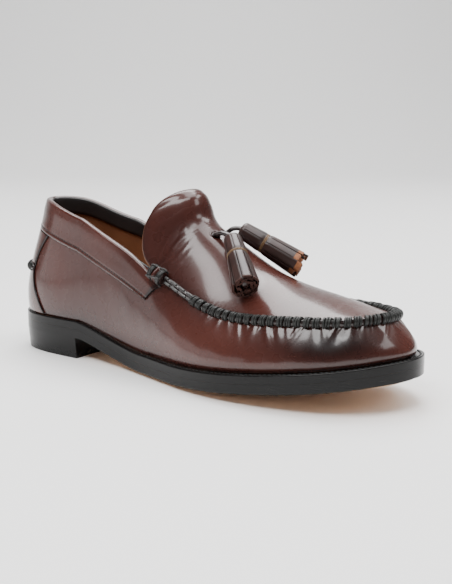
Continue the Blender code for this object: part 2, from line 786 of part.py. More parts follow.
def make_lace(collection, surface, shift):
    """The lace that comes out of the throat's two slots and carries a tassel on each end."""
    points = []
    for row, turn in zip(TASSELS, (1, -1)):
        head, end = tassel_ends(row)
        back = unit(head - end)
        knot = apron_point(KNOT_STATION, 0.5 - turn * KNOT_SPREAD, LACE_RADIUS + 2 * GAP)
        run = [head + back * GAP, head + back * LACE_TAIL, (knot + head) / 2 + back * LACE_RADIUS, knot]
        points += run[::turn]
    points = np.array(points)
    stations = np.arange(len(points), dtype=float)
    fine = np.linspace(0, len(points) - 1, LACE_STEPS + 1)
    route = np.stack([open_spline(stations, points[:, axis], fine) for axis in range(3)], axis=-1)
    return tube("tassel_lace", route + shift, LACE_RADIUS, collection, surface)


def surfaces():
    """The shoe's plain materials by name."""
    return {
        "burgundy": material("burgundy leather", (0.10, 0.018, 0.016), 0.18),
        "dark": material("black thread and edges", (0.012, 0.010, 0.010), 0.35),
        "sole": material("tan sole leather", (0.62, 0.40, 0.24), 0.50),
        "edge": material("black sole edge", (0.010, 0.009, 0.009), 0.28),
        "lining": material("tan lining", (0.42, 0.20, 0.08), 0.45),
    }


def main():
    """Clear the scene and make each piece in turn."""
    for old in list(bpy.data.objects):
        bpy.data.objects.remove(old)
    shoe = bpy.data.collections.new("tassel_loafer")
    bpy.context.scene.collection.children.link(shoe)
    shift = origin_shift()
    look = surfaces()
    make_outsole(shoe, look["sole"], shift)
    make_welt(shoe, look["edge"], shift)
    make_heel_layer("top_lift", 0.0, TOP_LIFT, shoe, look["edge"], shift)
    make_heel_layer("heel_stack", TOP_LIFT + GAP, HEEL_HEIGHT - GAP, shoe, look["edge"], shift)
    make_insole(shoe, look["lining"], shift)
    make_upper(shoe, look["burgundy"], shift)
    make_collar_band(shoe, look["burgundy"], shift)
    make_back_stay(shoe, look["burgundy"], shift)
    make_heel_seam(shoe, look["dark"], shift)
    make_moc_seam(shoe, look["dark"], shift)
    make_tongue(shoe, look["burgundy"], shift)
    reach = THROAT_STEP * STEP
    make_roll("beefroll_outer", TOE_ROW - reach, shoe, look["dark"], shift)
    make_roll("beefroll_inner", TOE_ROW + reach, shoe, look["dark"], shift)
    for row in TASSELS:
        make_tassel(row[0], *tassel_ends(row), shoe, look["burgundy"], shift)
    make_lace(shoe, look["dark"], shift)


main()
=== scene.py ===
"""Tassel loafer in burgundy brush-off leather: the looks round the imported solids.

The shoe's form is the Last: tables of places round the shoe, of the apron and of the tongue, read
as smooth curves. Every piece lies on that form. The toe points along +X, the wearer's left is +Y
and up is +Z, in metres. Shapes are worked out from the heel's back and moved to the frame's origin
when their mesh is made.
"""

import logging
import math
from dataclasses import dataclass, field, replace
from enum import Enum
from functools import cached_property

import bmesh
import bpy
import numpy as np
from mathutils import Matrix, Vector


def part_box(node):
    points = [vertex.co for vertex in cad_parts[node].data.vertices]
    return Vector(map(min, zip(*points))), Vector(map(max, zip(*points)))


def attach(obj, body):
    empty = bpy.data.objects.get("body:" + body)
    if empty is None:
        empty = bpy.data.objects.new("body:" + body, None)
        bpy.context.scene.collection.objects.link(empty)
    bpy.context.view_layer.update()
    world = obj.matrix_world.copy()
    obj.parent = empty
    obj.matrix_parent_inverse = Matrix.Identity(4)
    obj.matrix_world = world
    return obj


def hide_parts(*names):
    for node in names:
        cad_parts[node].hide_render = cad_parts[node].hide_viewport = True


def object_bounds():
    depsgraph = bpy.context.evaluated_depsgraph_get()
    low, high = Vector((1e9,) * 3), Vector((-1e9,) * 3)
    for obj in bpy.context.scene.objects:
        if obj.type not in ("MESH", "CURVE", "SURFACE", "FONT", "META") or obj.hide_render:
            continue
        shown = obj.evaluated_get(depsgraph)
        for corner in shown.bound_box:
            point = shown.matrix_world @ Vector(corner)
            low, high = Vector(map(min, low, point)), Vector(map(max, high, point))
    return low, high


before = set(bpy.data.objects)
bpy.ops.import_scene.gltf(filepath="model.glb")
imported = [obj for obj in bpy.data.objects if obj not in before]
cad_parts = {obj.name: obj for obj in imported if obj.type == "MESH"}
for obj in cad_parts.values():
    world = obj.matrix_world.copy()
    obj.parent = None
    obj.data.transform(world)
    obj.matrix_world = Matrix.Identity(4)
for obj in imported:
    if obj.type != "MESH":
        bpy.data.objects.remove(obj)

Array = np.ndarray
Colour = tuple[float, float, float]
Material = bpy.types.Material
Socket = bpy.types.NodeSocket
LOG = logging.getLogger("loafer")
CAD_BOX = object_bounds()
PHOTO_WIDTH = 452
PHOTO_HEIGHT = 584
MEET = 1e-6
NEAR = 0.01

# Each row is one place round the shoe, from the heel's back along the outer side to the toe and
# home along the inner side. Along: share of the length. Across: share of the ball's width. Reach:
# share of the welt's reach. Rise: share of the collar's rise. Bulge and roll: shares of the swell.
AROUND_COLUMNS = (
    "edge_along", "edge_across", "reach", "rim_along", "rim_across", "rim_rise", "bulge", "roll",
)
AROUND = (
    (0.000, 0.000, 0.60, 0.0400, 0.000, 1.000, 1.00, 1.00),
    (0.034, -0.239, 0.52, 0.0900, -0.155, 0.985, 0.90, 1.00),
    (0.124, -0.333, 0.44, 0.1650, -0.225, 0.925, 0.70, 0.80),
    (0.248, -0.333, 0.44, 0.2600, -0.262, 0.850, 0.50, 0.60),
    (0.379, -0.348, 0.60, 0.3650, -0.280, 0.790, 0.60, 0.60),
    (0.510, -0.433, 0.84, 0.4800, -0.290, 0.640, 0.60, 1.00),
    (0.655, -0.507, 1.00, 0.6300, -0.330, 0.425, 0.70, 1.40),
    (0.800, -0.474, 1.00, 0.7800, -0.330, 0.365, 0.70, 1.20),
    (0.926, -0.333, 0.96, 0.8950, -0.222, 0.325, 0.60, 1.00),
    (1.000, 0.000, 0.92, 0.9420, 0.010, 0.310, 0.60, 0.90),
    (0.946, 0.310, 0.96, 0.9020, 0.238, 0.300, 0.60, 1.00),
    (0.833, 0.462, 1.00, 0.8010, 0.335, 0.350, 0.70, 1.20),
    (0.697, 0.504, 1.00, 0.6550, 0.345, 0.430, 0.70, 1.40),
    (0.534, 0.405, 0.80, 0.4900, 0.300, 0.650, 0.60, 1.00),
    (0.386, 0.306, 0.52, 0.3700, 0.280, 0.750, 0.80, 0.80),
    (0.248, 0.311, 0.44, 0.2600, 0.262, 0.795, 0.70, 0.70),
    (0.124, 0.331, 0.44, 0.1650, 0.225, 0.885, 0.70, 0.80),
    (0.034, 0.237, 0.52, 0.0900, 0.155, 0.985, 0.90, 1.00),
)

# Each row is one station of the apron, from the toe (0) to the throat (1). Crown: share of the
# instep's rise. Lean: degrees forward of upright.
APRON_COLUMNS = ("station", "crown", "lean")
APRON = (
    (0.00, 0.00, 0.0),
    (0.12, 0.06, 2.0),
    (0.30, 0.16, 5.0),
    (0.50, 0.36, 10.0),
    (0.70, 0.62, 20.0),
    (0.86, 0.86, 33.0),
    (1.00, 1.00, 42.0),
)

# Each row is one station of the tongue, from the throat (0) to its top (1). Along: share of the
# length. Half width: share of the throat's. Rise: share of the way from the rim to the top.
TONGUE_COLUMNS = ("station", "along", "half_width", "rise", "crown", "lean")
TONGUE = (
    (0.00, 0.000, 1.00, 0.00, 1.00, 42.0),
    (0.20, -0.026, 0.99, 0.17, 1.00, 46.0),
    (0.45, -0.036, 0.93, 0.44, 0.92, 51.0),
    (0.70, -0.032, 0.76, 0.71, 0.68, 56.0),
    (0.88, -0.020, 0.48, 0.91, 0.34, 60.0),
    (1.00, -0.010, 0.00, 1.00, 0.00, 60.0),
)

# Each row is one level of the back stay, from its foot (0) to the collar band (1). Half width: rows
# of AROUND to each side of the heel's back.
STAY_COLUMNS = ("station", "half_width")
STAY = (
    (0.00, 1.97),
    (0.18, 1.78),
    (0.36, 1.54),
    (0.56, 1.33),
    (0.80, 1.34),
    (1.00, 1.50),
)

# Each row is one crease at the throat, from its start to its end. Ahead: metres above the throat
# line. Across: share of the throat's width. Deep: share of the deepest crease.
CREASE_COLUMNS = ("ahead", "across", "ahead_end", "across_end", "deep")
CREASES = (
    (-0.0010, 0.03, 0.0050, 0.23, 1.00),
    (0.0030, 0.04, 0.0105, 0.17, 0.80),
    (-0.0045, 0.07, -0.0005, 0.27, 0.70),
    (0.0010, 0.13, 0.0090, 0.26, 0.55),
    (0.0075, 0.05, 0.0150, 0.13, 0.50),
    (-0.0080, 0.09, -0.0050, 0.22, 0.45),
    (-0.0015, 0.97, 0.0045, 0.78, 1.00),
    (0.0035, 0.95, 0.0110, 0.82, 0.70),
    (-0.0050, 0.93, -0.0010, 0.74, 0.70),
    (0.0015, 0.86, 0.0085, 0.73, 0.50),
)


def column(table: tuple, columns: tuple, name: str) -> Array:
    """One named column of a table, as an array."""
    return np.array([row[columns.index(name)] for row in table], dtype=float)


def unit(vectors: Array) -> Array:
    """Vectors scaled to length one; a vector of no length stays as it is."""
    length = np.linalg.norm(vectors, axis=-1, keepdims=True)
    return vectors / np.maximum(length, MEET**2)


def smooth_step(low: float, high: float, values: Array) -> Array:
    """0 below low, 1 above high, and 3s^2 - 2s^3 of the share s between."""
    share = np.clip((np.asarray(values, dtype=float) - low) / (high - low), 0, 1)
    return share * share * (3 - 2 * share)


def bell(values: Array, middle: float | Array, half: float | Array) -> Array:
    """A bell round middle: exp of minus the square of (value - middle) / half."""
    return np.exp(-(((np.asarray(values, dtype=float) - middle) / half) ** 2))


def stand(plan: Array, height: Array) -> Array:
    """Points in space: a plan with a height at each of its points."""
    return np.concatenate((plan, height[..., None]), axis=-1)


def between(first: Array, last: Array, share: Array) -> Array:
    """Straight lines from each point of one line to its mate on another: (1 - s) first + s last."""
    return (1 - share)[None, :, None] * first[:, None] + share[None, :, None] * last[:, None]


def circle(turns: Array, beside: Array, above: Array) -> Array:
    """Directions round a circle: cos a along one direction plus sin a along the other."""
    return np.cos(turns)[..., None] * beside + np.sin(turns)[..., None] * above


def hermite(part: Array, start: Array, end: Array, start_slope: Array, end_slope: Array) -> Array:
    """The cubic from start to end with the given slopes, at part (0 to 1)."""
    values = (2 * part**3 - 3 * part**2 + 1) * start + (3 * part**2 - 2 * part**3) * end
    return values + (part**3 - 2 * part**2 + part) * start_slope + (part**3 - part**2) * end_slope


def closed_spline(values: Array, places: Array) -> Array:
    """The periodic cubic spline through values at 0, 1, 2 and so on.

    Args:
        values: The values, once round.
        places: Where it is read.

    Returns:
        A value for each place.
    """
    count = len(values)
    matrix = 4 * np.eye(count) + np.roll(np.eye(count), 1, 0) + np.roll(np.eye(count), -1, 0)
    slopes = np.linalg.solve(matrix, 3 * (np.roll(values, -1) - np.roll(values, 1)))
    whole = np.floor(places).astype(int)
    here = whole % count
    there = (whole + 1) % count
    return hermite(places - whole, values[here], values[there], slopes[here], slopes[there])


def open_spline(stations: Array, values: Array, places: Array) -> Array:
    """The cubic through values at uneven stations, with central slopes.

    Args:
        stations: Where the values stand, from first to last.
        values: The values.
        places: Where it is read.

    Returns:
        A value for each place.
    """
    slopes = np.gradient(values, stations)
    places = np.clip(places, stations[0], stations[-1])
    index = np.clip(np.searchsorted(stations, places, side="right") - 1, 0, len(stations) - 2)
    span = stations[index + 1] - stations[index]
    part = (places - stations[index]) / span
    return hermite(part, values[index], values[index + 1], slopes[index] * span, slopes[index + 1] * span)


def grid_normal(grid: Array) -> Array:
    """Directions square to a grid: the cross product of its column and row steps."""
    return unit(np.cross(np.gradient(grid, axis=1), np.gradient(grid, axis=0)))


def run_along(line: Array) -> Array:
    """The distance along a line of points, from its first point to each."""
    return np.concatenate(([0.0], np.cumsum(np.linalg.norm(np.diff(line, axis=0), axis=1))))


@dataclass(frozen=True)
class Last:
    """The shoe's form: its sole's plan and arch, its wall, its apron and its tongue."""

    length: float = 0.290
    ball_width: float = 0.1010
    heel_height: float = 0.0137
    collar_rise: float = 0.0720
    instep_rise: float = 0.0330
    tongue_rise: float = 0.1080
    outsole: float = 0.0056
    welt: float = 0.0048
    top_lift: float = 0.0042
    insole: float = 0.0062
    toe_spring: float = 0.0160
    edge_lift: float = 0.0020
    breast_along: float = 0.0660
    flat_start: float = 0.1280
    flat_end: float = 0.1560
    spring_power: float = 1.5
    arch_start: float = 1.25
    arch_power: float = 1.75
    flat_share: float = 0.35
    narrow: float = 0.0274
    welt_reach: float = 0.0050
    swell: float = 0.0050
    handle: float = 0.30
    crown_power: float = 2.2
    wall: float = 0.0022
    gap: float = 0.0003
    rows: int = len(AROUND)
    toe_row: float = 9.0
    throat_reach: float = 4.25
    slot_station: float = 0.955
    slot_spread: float = 0.075

    @cached_property
    def origin(self) -> Array:
        """The move from the heel's back to the frame's origin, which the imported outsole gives.

        Returns:
            The move, in metres.
        """
        low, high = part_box("outsole")
        plan = self.edge_plan(np.linspace(0, self.rows, 1801))
        middle = (plan.min(axis=0) + plan.max(axis=0)) / 2
        return np.array([(low.x + high.x) / 2 - middle[0], (low.y + high.y) / 2 - middle[1], 0.0])

    def around(self, name: str, places: Array) -> Array:
        """A column of AROUND, read as a periodic spline."""
        return closed_spline(column(AROUND, AROUND_COLUMNS, name), np.asarray(places, dtype=float))

    def edge_plan(self, places: Array) -> Array:
        """The sole's edge in plan: the two edge columns times length and ball width."""
        along = self.around("edge_along", places) * self.length
        return np.stack((along, self.around("edge_across", places) * self.ball_width), axis=-1)

    def outward(self, places: Array) -> Array:
        """The plan's outward direction: the edge's tangent turned a quarter to the right."""
        tangent = unit(self.edge_plan(places + NEAR) - self.edge_plan(places - NEAR))
        return np.stack((tangent[..., 1], -tangent[..., 0]), axis=-1)

    def inset_plan(self, places: Array, inset: float | Array) -> Array:
        """The edge moved inwards in plan: edge minus outward times inset."""
        return self.edge_plan(places) - self.outward(places) * np.asarray(inset)[..., None]

    def waist(self, along: Array) -> Array:
        """How far a place lies on the way from the heel's breast (0) to the tread (1)."""
        return np.clip((along - self.breast_along) / (self.flat_start - self.breast_along), 0, 1)

    def arch_rise(self, along: Array) -> Array:
        """The underside's height: heel height times (1 - w^a)^p at the waist, plus toe spring.

        Args:
            along: The distance from the heel's back.

        Returns:
            A height for each.
        """
        toe = np.clip((along - self.flat_end) / (self.length - self.flat_end), 0, None)
        heel = self.heel_height * (1 - self.waist(along) ** self.arch_start) ** self.arch_power
        return heel + self.toe_spring * toe**self.spring_power

    def edge_rise(self, along: Array) -> Array:
        """How much higher the sole's edges are than the middle of its underside."""
        return self.edge_lift * self.waist(along)

    def belly(self, along: Array, share: Array, wide: Array) -> Array:
        """The edge's lift at a share across: it fades as the square towards the flat middle.

        Args:
            along: The distance from the heel's back.
            share: The share of the sole's width, from edge to edge.
            wide: That width.

        Returns:
            A lift for each point.
        """
        beyond = np.clip((np.abs(2 * share - 1) - self.flat_share) / (1 - self.flat_share), 0, 1)
        inside = (1 - beyond**2) * np.clip(wide / self.narrow, 0, 1)
        return self.edge_rise(along) * (1 - inside)

    def welt_base(self, along: Array) -> Array:
        """The height of the welt's underside, a gap above the outsole."""
        return self.arch_rise(along) + self.edge_rise(along) + self.outsole + self.gap

    def seat(self, along: Array) -> Array:
        """The height of the welt's top."""
        return self.welt_base(along) + self.welt

    def rim(self, places: Array) -> Array:
        """The wall's top edge: the collar behind and the moccasin seam in front.

        Args:
            places: Places round the shoe.

        Returns:
            A point for each: the rim columns times length, ball width and collar rise.
        """
        along = self.around("rim_along", places) * self.length
        across = self.around("rim_across", places) * self.ball_width
        height = self.seat(along) + self.around("rim_rise", places) * self.collar_rise
        return np.stack((along, across, height), axis=-1)

    def wall_face(self, places: Array, heights: Array) -> Array:
        """The upper's outer face: a cubic Bezier from the welt (0) to the rim (1).

        Its two middle points stand a handle's share up and down the wall, swollen outwards in plan
        by the bulge and the roll.

        Args:
            places: Places round the shoe.
            heights: Shares of the way up the wall.

        Returns:
            Points, in the shape that places and heights have together.
        """
        places, heights = np.broadcast_arrays(places, heights)
        plan = self.inset_plan(places, self.around("reach", places) * self.welt_reach)
        out = self.outward(places)
        foot = stand(plan, self.seat(plan[..., 0]) + 2 * self.gap)
        top = self.rim(places)
        tall = (top - foot)[..., 2]
        low = foot.copy()
        low[..., :2] += out * (self.around("bulge", places) * self.swell)[..., None]
        low[..., 2] += self.handle * tall
        high = top.copy()
        high[..., :2] += out * (self.around("roll", places) * self.swell)[..., None]
        high[..., 2] -= self.handle * tall
        share = heights[..., None]
        lower = (1 - share) ** 3 * foot + 3 * (1 - share) ** 2 * share * low
        return lower + 3 * (1 - share) * share**2 * high + share**3 * top

    def wall_normal(self, places: Array, heights: Array) -> Array:
        """The wall's outward direction: the cross product of its steps along and up.

        Args:
            places: Places round the shoe.
            heights: Shares of the way up the wall.

        Returns:
            A direction for each.
        """
        along = self.wall_face(places + NEAR, heights) - self.wall_face(places - NEAR, heights)
        up = self.wall_face(places, heights + NEAR) - self.wall_face(places, heights - NEAR)
        return unit(np.cross(along, up))

    def on_wall(self, places: Array, heights: Array, off: float | Array) -> Array:
        """Points a distance off the wall's outer face.

        Args:
            places: Places round the shoe.
            heights: Shares of the way up the wall.
            off: The distance, negative inside.

        Returns:
            Points, in the shape that the three have together.
        """
        places, heights, off = np.broadcast_arrays(places, heights, off)
        return self.wall_face(places, heights) + self.wall_normal(places, heights) * off[..., None]

    def drop_below_rim(self, places: Array, heights: Array) -> Array:
        """The distance down the wall from the rim.

        Args:
            places: Places round the shoe.
            heights: Shares of the way up the wall, a row for each place.

        Returns:
            A distance for each height.
        """
        shares = np.linspace(0, 1, 41)
        lines = self.wall_face(places[:, None], shares[None, :])
        steps = np.linalg.norm(np.diff(lines, axis=1), axis=2)
        run = np.concatenate((np.zeros((len(lines), 1)), np.cumsum(steps, axis=1)), axis=1)
        drop = run[:, -1:] - run
        spot = np.clip(heights, 0, 1) * (len(shares) - 1)
        index = np.minimum(spot.astype(int), len(shares) - 2)
        low = np.take_along_axis(drop, index, axis=1)
        high = np.take_along_axis(drop, index + 1, axis=1)
        return low + (high - low) * (spot - index)

    def height_at_drop(self, places: Array, drop: float) -> Array:
        """The wall height that lies a distance below the rim.

        Args:
            places: A line of places round the shoe.
            drop: The distance.

        Returns:
            A height for each place.
        """
        shares = np.linspace(0, 1, 101)
        found = self.drop_below_rim(places, np.tile(shares, (len(places), 1)))
        return np.array([np.interp(-drop, -row, shares) for row in found])

    def height_at_rise(self, places: Array, rise: float) -> Array:
        """The wall height that lies a rise above the welt.

        Args:
            places: A line of places round the shoe.
            rise: The rise.

        Returns:
            A height for each place.
        """
        shares = np.linspace(0, 1, 101)
        lines = self.wall_face(places[:, None], shares[None, :])
        return np.array([np.interp(rise, line[:, 2] - line[0, 2], shares) for line in lines])

    def arc(self, ends: tuple[Array, Array], crown: Array, lean: Array, across: Array) -> Array:
        """Domed lines: the chord plus crown times 1 - |2c - 1|^p, along a direction that leans.

        Args:
            ends: The lines' first and last points.
            crown: Each line's rise at its middle.
            lean: How many degrees forward of upright it rises.
            across: Shares across.

        Returns:
            Lines by points.
        """
        rise = (1 - np.abs(2 * across - 1) ** self.crown_power)[None, :, None]
        lean = np.radians(lean)
        direction = np.stack((np.sin(lean), np.zeros_like(lean), np.cos(lean)), axis=-1)
        return between(*ends, across) + rise * (crown[:, None] * direction)[:, None, :]

    def apron(self, stations: Array, across: Array) -> Array:
        """The apron's outer face: domed lines from rim to rim.

        Args:
            stations: From the toe (0) to the throat (1).
            across: Shares across.

        Returns:
            Stations by points.
        """
        reach = stations * self.throat_reach
        places = column(APRON, APRON_COLUMNS, "station")
        crown = open_spline(places, column(APRON, APRON_COLUMNS, "crown"), stations) * self.instep_rise
        lean = open_spline(places, column(APRON, APRON_COLUMNS, "lean"), stations)
        return self.arc((self.rim(self.toe_row - reach), self.rim(self.toe_row + reach)), crown, lean, across)

    def tongue(self, stations: Array, across: Array) -> Array:
        """The tongue's outer face: domed lines that rise from the throat, narrow and lean back.

        Args:
            stations: From the throat (0) to its top (1).
            across: Shares across.

        Returns:
            Stations by points.
        """
        places = column(TONGUE, TONGUE_COLUMNS, "station")
        along, half_width, rise, crown, lean = (
            open_spline(places, column(TONGUE, TONGUE_COLUMNS, name), stations) for name in TONGUE_COLUMNS[1:]
        )
        left, right = self.rim(self.toe_row + self.throat_reach * np.array([-1.0, 1.0]))
        middle = (left + right) / 2
        rise = rise * (self.tongue_rise - middle[2])
        base = middle + np.stack((along * self.length, 0 * stations, rise), axis=-1)
        spread = (right - left) / 2 * half_width[:, None]
        return self.arc((base - spread, base + spread), crown * self.instep_rise, lean, across)

    def apron_frame(self, station: float, across: float) -> tuple[Array, Array]:
        """A point of the apron and the direction off it.

        Args:
            station: From the toe (0) to the throat (1).
            across: The share across.

        Returns:
            The point and the direction.
        """
        steps = NEAR * np.array([-1.0, 0.0, 1.0])
        grid = self.apron(station + steps, across + steps)
        return grid[1, 1], unit(np.cross(grid[1, 2] - grid[1, 0], grid[2, 1] - grid[0, 1]))


LAST = Last()


class Part(Enum):
    """The record's material slots."""

    SOLE = "sole_leather"
    EDGE = "edge_black"
    LIFT = "top_lift"
    LINING = "lining"
    UPPER = "upper_leather"
    THREAD = "thread"
    TASSEL = "tassel_leather"
    LACE = "lace"


@dataclass
class Patch:
    """A grid of points that becomes faces.

    Attributes:
        points: Rows by columns of points, in metres from the heel's back.
        finish: Which of the piece's finishes it wears.
        wrap_rows: Whether the last row joins the first.
        wrap_columns: Whether the last column joins the first.
        shade: How far its colour goes to the finish's second colour, a number or one for each point.
    """

    points: Array
    finish: int = 0
    wrap_rows: bool = False
    wrap_columns: bool = False
    shade: float | Array = 0.0

    def faces(self) -> Array:
        """The faces, each between a row and a column and the next of each.

        Returns:
            Four point numbers for each face.
        """
        rows, columns = self.points.shape[:2]
        number = np.arange(rows * columns).reshape(rows, columns)
        if self.wrap_rows:
            number = np.concatenate((number, number[:1]), axis=0)
        if self.wrap_columns:
            number = np.concatenate((number, number[:, :1]), axis=1)
        quads = np.stack((number[:-1, :-1], number[1:, :-1], number[1:, 1:], number[:-1, 1:]), axis=-1)
        return quads.reshape(-1, 4)


@dataclass
class Piece:
    """One finished piece of the shoe: its patches, made into a mesh that rides the frame.

    Attributes:
        name: The piece's name.
        slot: Its material slot.
        finishes: The materials that its patches choose from.
        patches: Its patches.
        stands_for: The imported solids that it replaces.
        smooth_angle: The degrees past which an edge is sharp.
    """

    name: str
    slot: Part
    finishes: list[Material]
    patches: list[Patch] = field(default_factory=list)
    stands_for: tuple[str, ...] = ()
    smooth_angle: float = 50.0

    def add(self, points: Array, **settings: object) -> None:
        """Add a patch with its settings."""
        self.patches.append(Patch(points, **settings))

    def add_tubes(self, tubes: Array, finish: int = 0) -> None:
        """Add closed tubes, each a grid of rings by points round them."""
        for tube in tubes:
            self.add(tube, wrap_columns=True, finish=finish)

    def add_fans(self, lines: Array, hubs: Array, **settings: object) -> None:
        """Close a piece's two ends: a fan from the first and the last line to the hub of each."""
        for row in (0, -1):
            self.add(np.stack((lines[row], np.broadcast_to(hubs[row], lines[row].shape))), **settings)

    def build(self) -> bpy.types.Object:
        """Join the patches into one closed mesh and hang it on the frame.

        Returns:
            The finished object, at the origin and unturned.
        """
        points = np.concatenate([patch.points.reshape(-1, 3) for patch in self.patches]) + LAST.origin
        shades = [np.broadcast_to(patch.shade, patch.points.shape[:2]).reshape(-1) for patch in self.patches]
        starts = np.cumsum([0] + [shade.size for shade in shades])
        faces = [patch.faces() + start for patch, start in zip(self.patches, starts)]
        finish = np.repeat([patch.finish for patch in self.patches], [len(quads) for quads in faces])
        shade = np.concatenate(shades).astype(np.float32)
        mesh = bpy.data.meshes.new(self.name)
        mesh.from_pydata(points.tolist(), [], np.concatenate(faces).tolist())
        mesh.polygons.foreach_set("material_index", finish.astype(np.int32))
        mesh.attributes.new("shade", "FLOAT", "POINT").data.foreach_set("value", shade)
        form = bmesh.new()
        form.from_mesh(mesh)
        bmesh.ops.remove_doubles(form, verts=form.verts, dist=MEET)
        bmesh.ops.dissolve_degenerate(form, edges=form.edges, dist=MEET / 10)
        bmesh.ops.recalc_face_normals(form, faces=form.faces)
        form.to_mesh(mesh)
        form.free()
        mesh.shade_smooth()
        mesh.set_sharp_from_angle(angle=math.radians(self.smooth_angle))
        for material in self.finishes:
            mesh.materials.append(material)
        made = bpy.data.objects.new(self.name, mesh)
        bpy.context.scene.collection.objects.link(made)
        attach(made, "root")
        if self.stands_for:
            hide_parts(*self.stands_for)
        LOG.info("%s: %d faces, %s", self.name, len(mesh.polygons), ", ".join(self.stands_for) or "trim")
        return made


def tube_grid(path: Array, radius: float | Array, sides: int, squash: float = 1.0) -> Array:
    """A tube with round ends: rings about a path, radius times (cos a, squash sin a).

    The rings stand square to the path, with one direction kept level.

    Args:
        path: The points along its middle.
        radius: Its radius, one number or one for each point.
        sides: Points in a ring.
        squash: Its height as a share of its width.

    Returns:
        Rings by sides of points, the first and last ring shrunk to a pole.
    """
    ahead = unit(np.gradient(path, axis=0))
    beside = np.cross(ahead, (0.0, 0.0, 1.0))
    steep = np.linalg.norm(beside, axis=1, keepdims=True) < NEAR
    beside = unit(np.where(steep, (0.0, 1.0, 0.0), beside))
    above = np.cross(beside, ahead)
    radius = np.broadcast_to(radius, len(path)).astype(float)
    caps = np.radians((90.0, 60.0, 30.0))
    reach = np.concatenate((radius[:1] * np.cos(caps), radius, radius[-1:] * np.cos(caps[::-1])))
    before = path[:1] - ahead[:1] * (radius[0] * np.sin(caps))[:, None]
    after = path[-1:] + ahead[-1:] * (radius[-1] * np.sin(caps[::-1]))[:, None]
    centre = np.concatenate((before, path, after))
    same = np.clip(np.arange(len(centre)) - len(caps), 0, len(path) - 1)
    turns = np.linspace(0, 2 * np.pi, sides, endpoint=False)
    ring = circle(turns, beside[same][:, None], squash * above[same][:, None])
    return centre[:, None, :] + reach[:, None, None] * ring


def thread_tubes(paths: Array, off: Array, radius: float, point: int = 10, sides: int = 6) -> Array:
    """Thin tubes with pointed ends along many paths at once.

    The radius at share s of a path, -1 to 1, is the thread's times the root of 1 - |s|^point.

    Args:
        paths: Stitches by points.
        off: A direction off the leather at each point.
        radius: The thread's radius.
        point: The power that shapes the ends.
        sides: Points round it.

    Returns:
        Stitches by rings by sides of points.
    """
    ahead = unit(np.gradient(paths, axis=1))
    beside = unit(np.cross(ahead, off))
    above = np.cross(beside, ahead)
    share = np.linspace(-1, 1, paths.shape[1])
    reach = radius * np.sqrt(np.clip(1 - np.abs(share) ** point, 0, 1))[None, :, None, None]
    turns = np.linspace(0, 2 * np.pi, sides, endpoint=False)
    return paths[:, :, None] + reach * circle(turns, beside[:, :, None], above[:, :, None])


def arched_stitches(starts: Array, ends: Array, off: Array, thick: float, high: float) -> Array:
    """Stitches as short arched tubes, each from a start to an end and bowed off the leather.

    The middle of a stitch is raised by high times 1 - (2s - 1)^4 and sunk at its ends by its radius.

    Args:
        starts: Where each thread comes up.
        ends: Where it goes down.
        off: The direction off the leather at each.
        thick: The thread's radius.
        high: How far it stands up at its middle.

    Returns:
        Stitches by rings by sides of points.
    """
    share = np.linspace(0, 1, 7)
    bow = ((2 * share - 1) ** 4)[None, :, None]
    middle = between(starts, ends, share) + off[:, None] * (high * (1 - bow) - thick * bow)
    return thread_tubes(middle, off[:, None], thick, point=8)


def stitch_places(line: Array, places: Array, pitch: float, parts: tuple[float, float]) -> list[Array]:
    """Where the stitches of a row come up and go down.

    Args:
        line: Fine points along the row.
        places: The place of each.
        pitch: The distance from stitch to stitch.
        parts: The shares of the pitch where a stitch comes up and goes down.

    Returns:
        The places of the starts and of the ends.
    """
    run = run_along(line)
    number = np.arange(int(run[-1] / pitch))
    return [np.interp((number + part) * pitch, run, places) for part in parts]


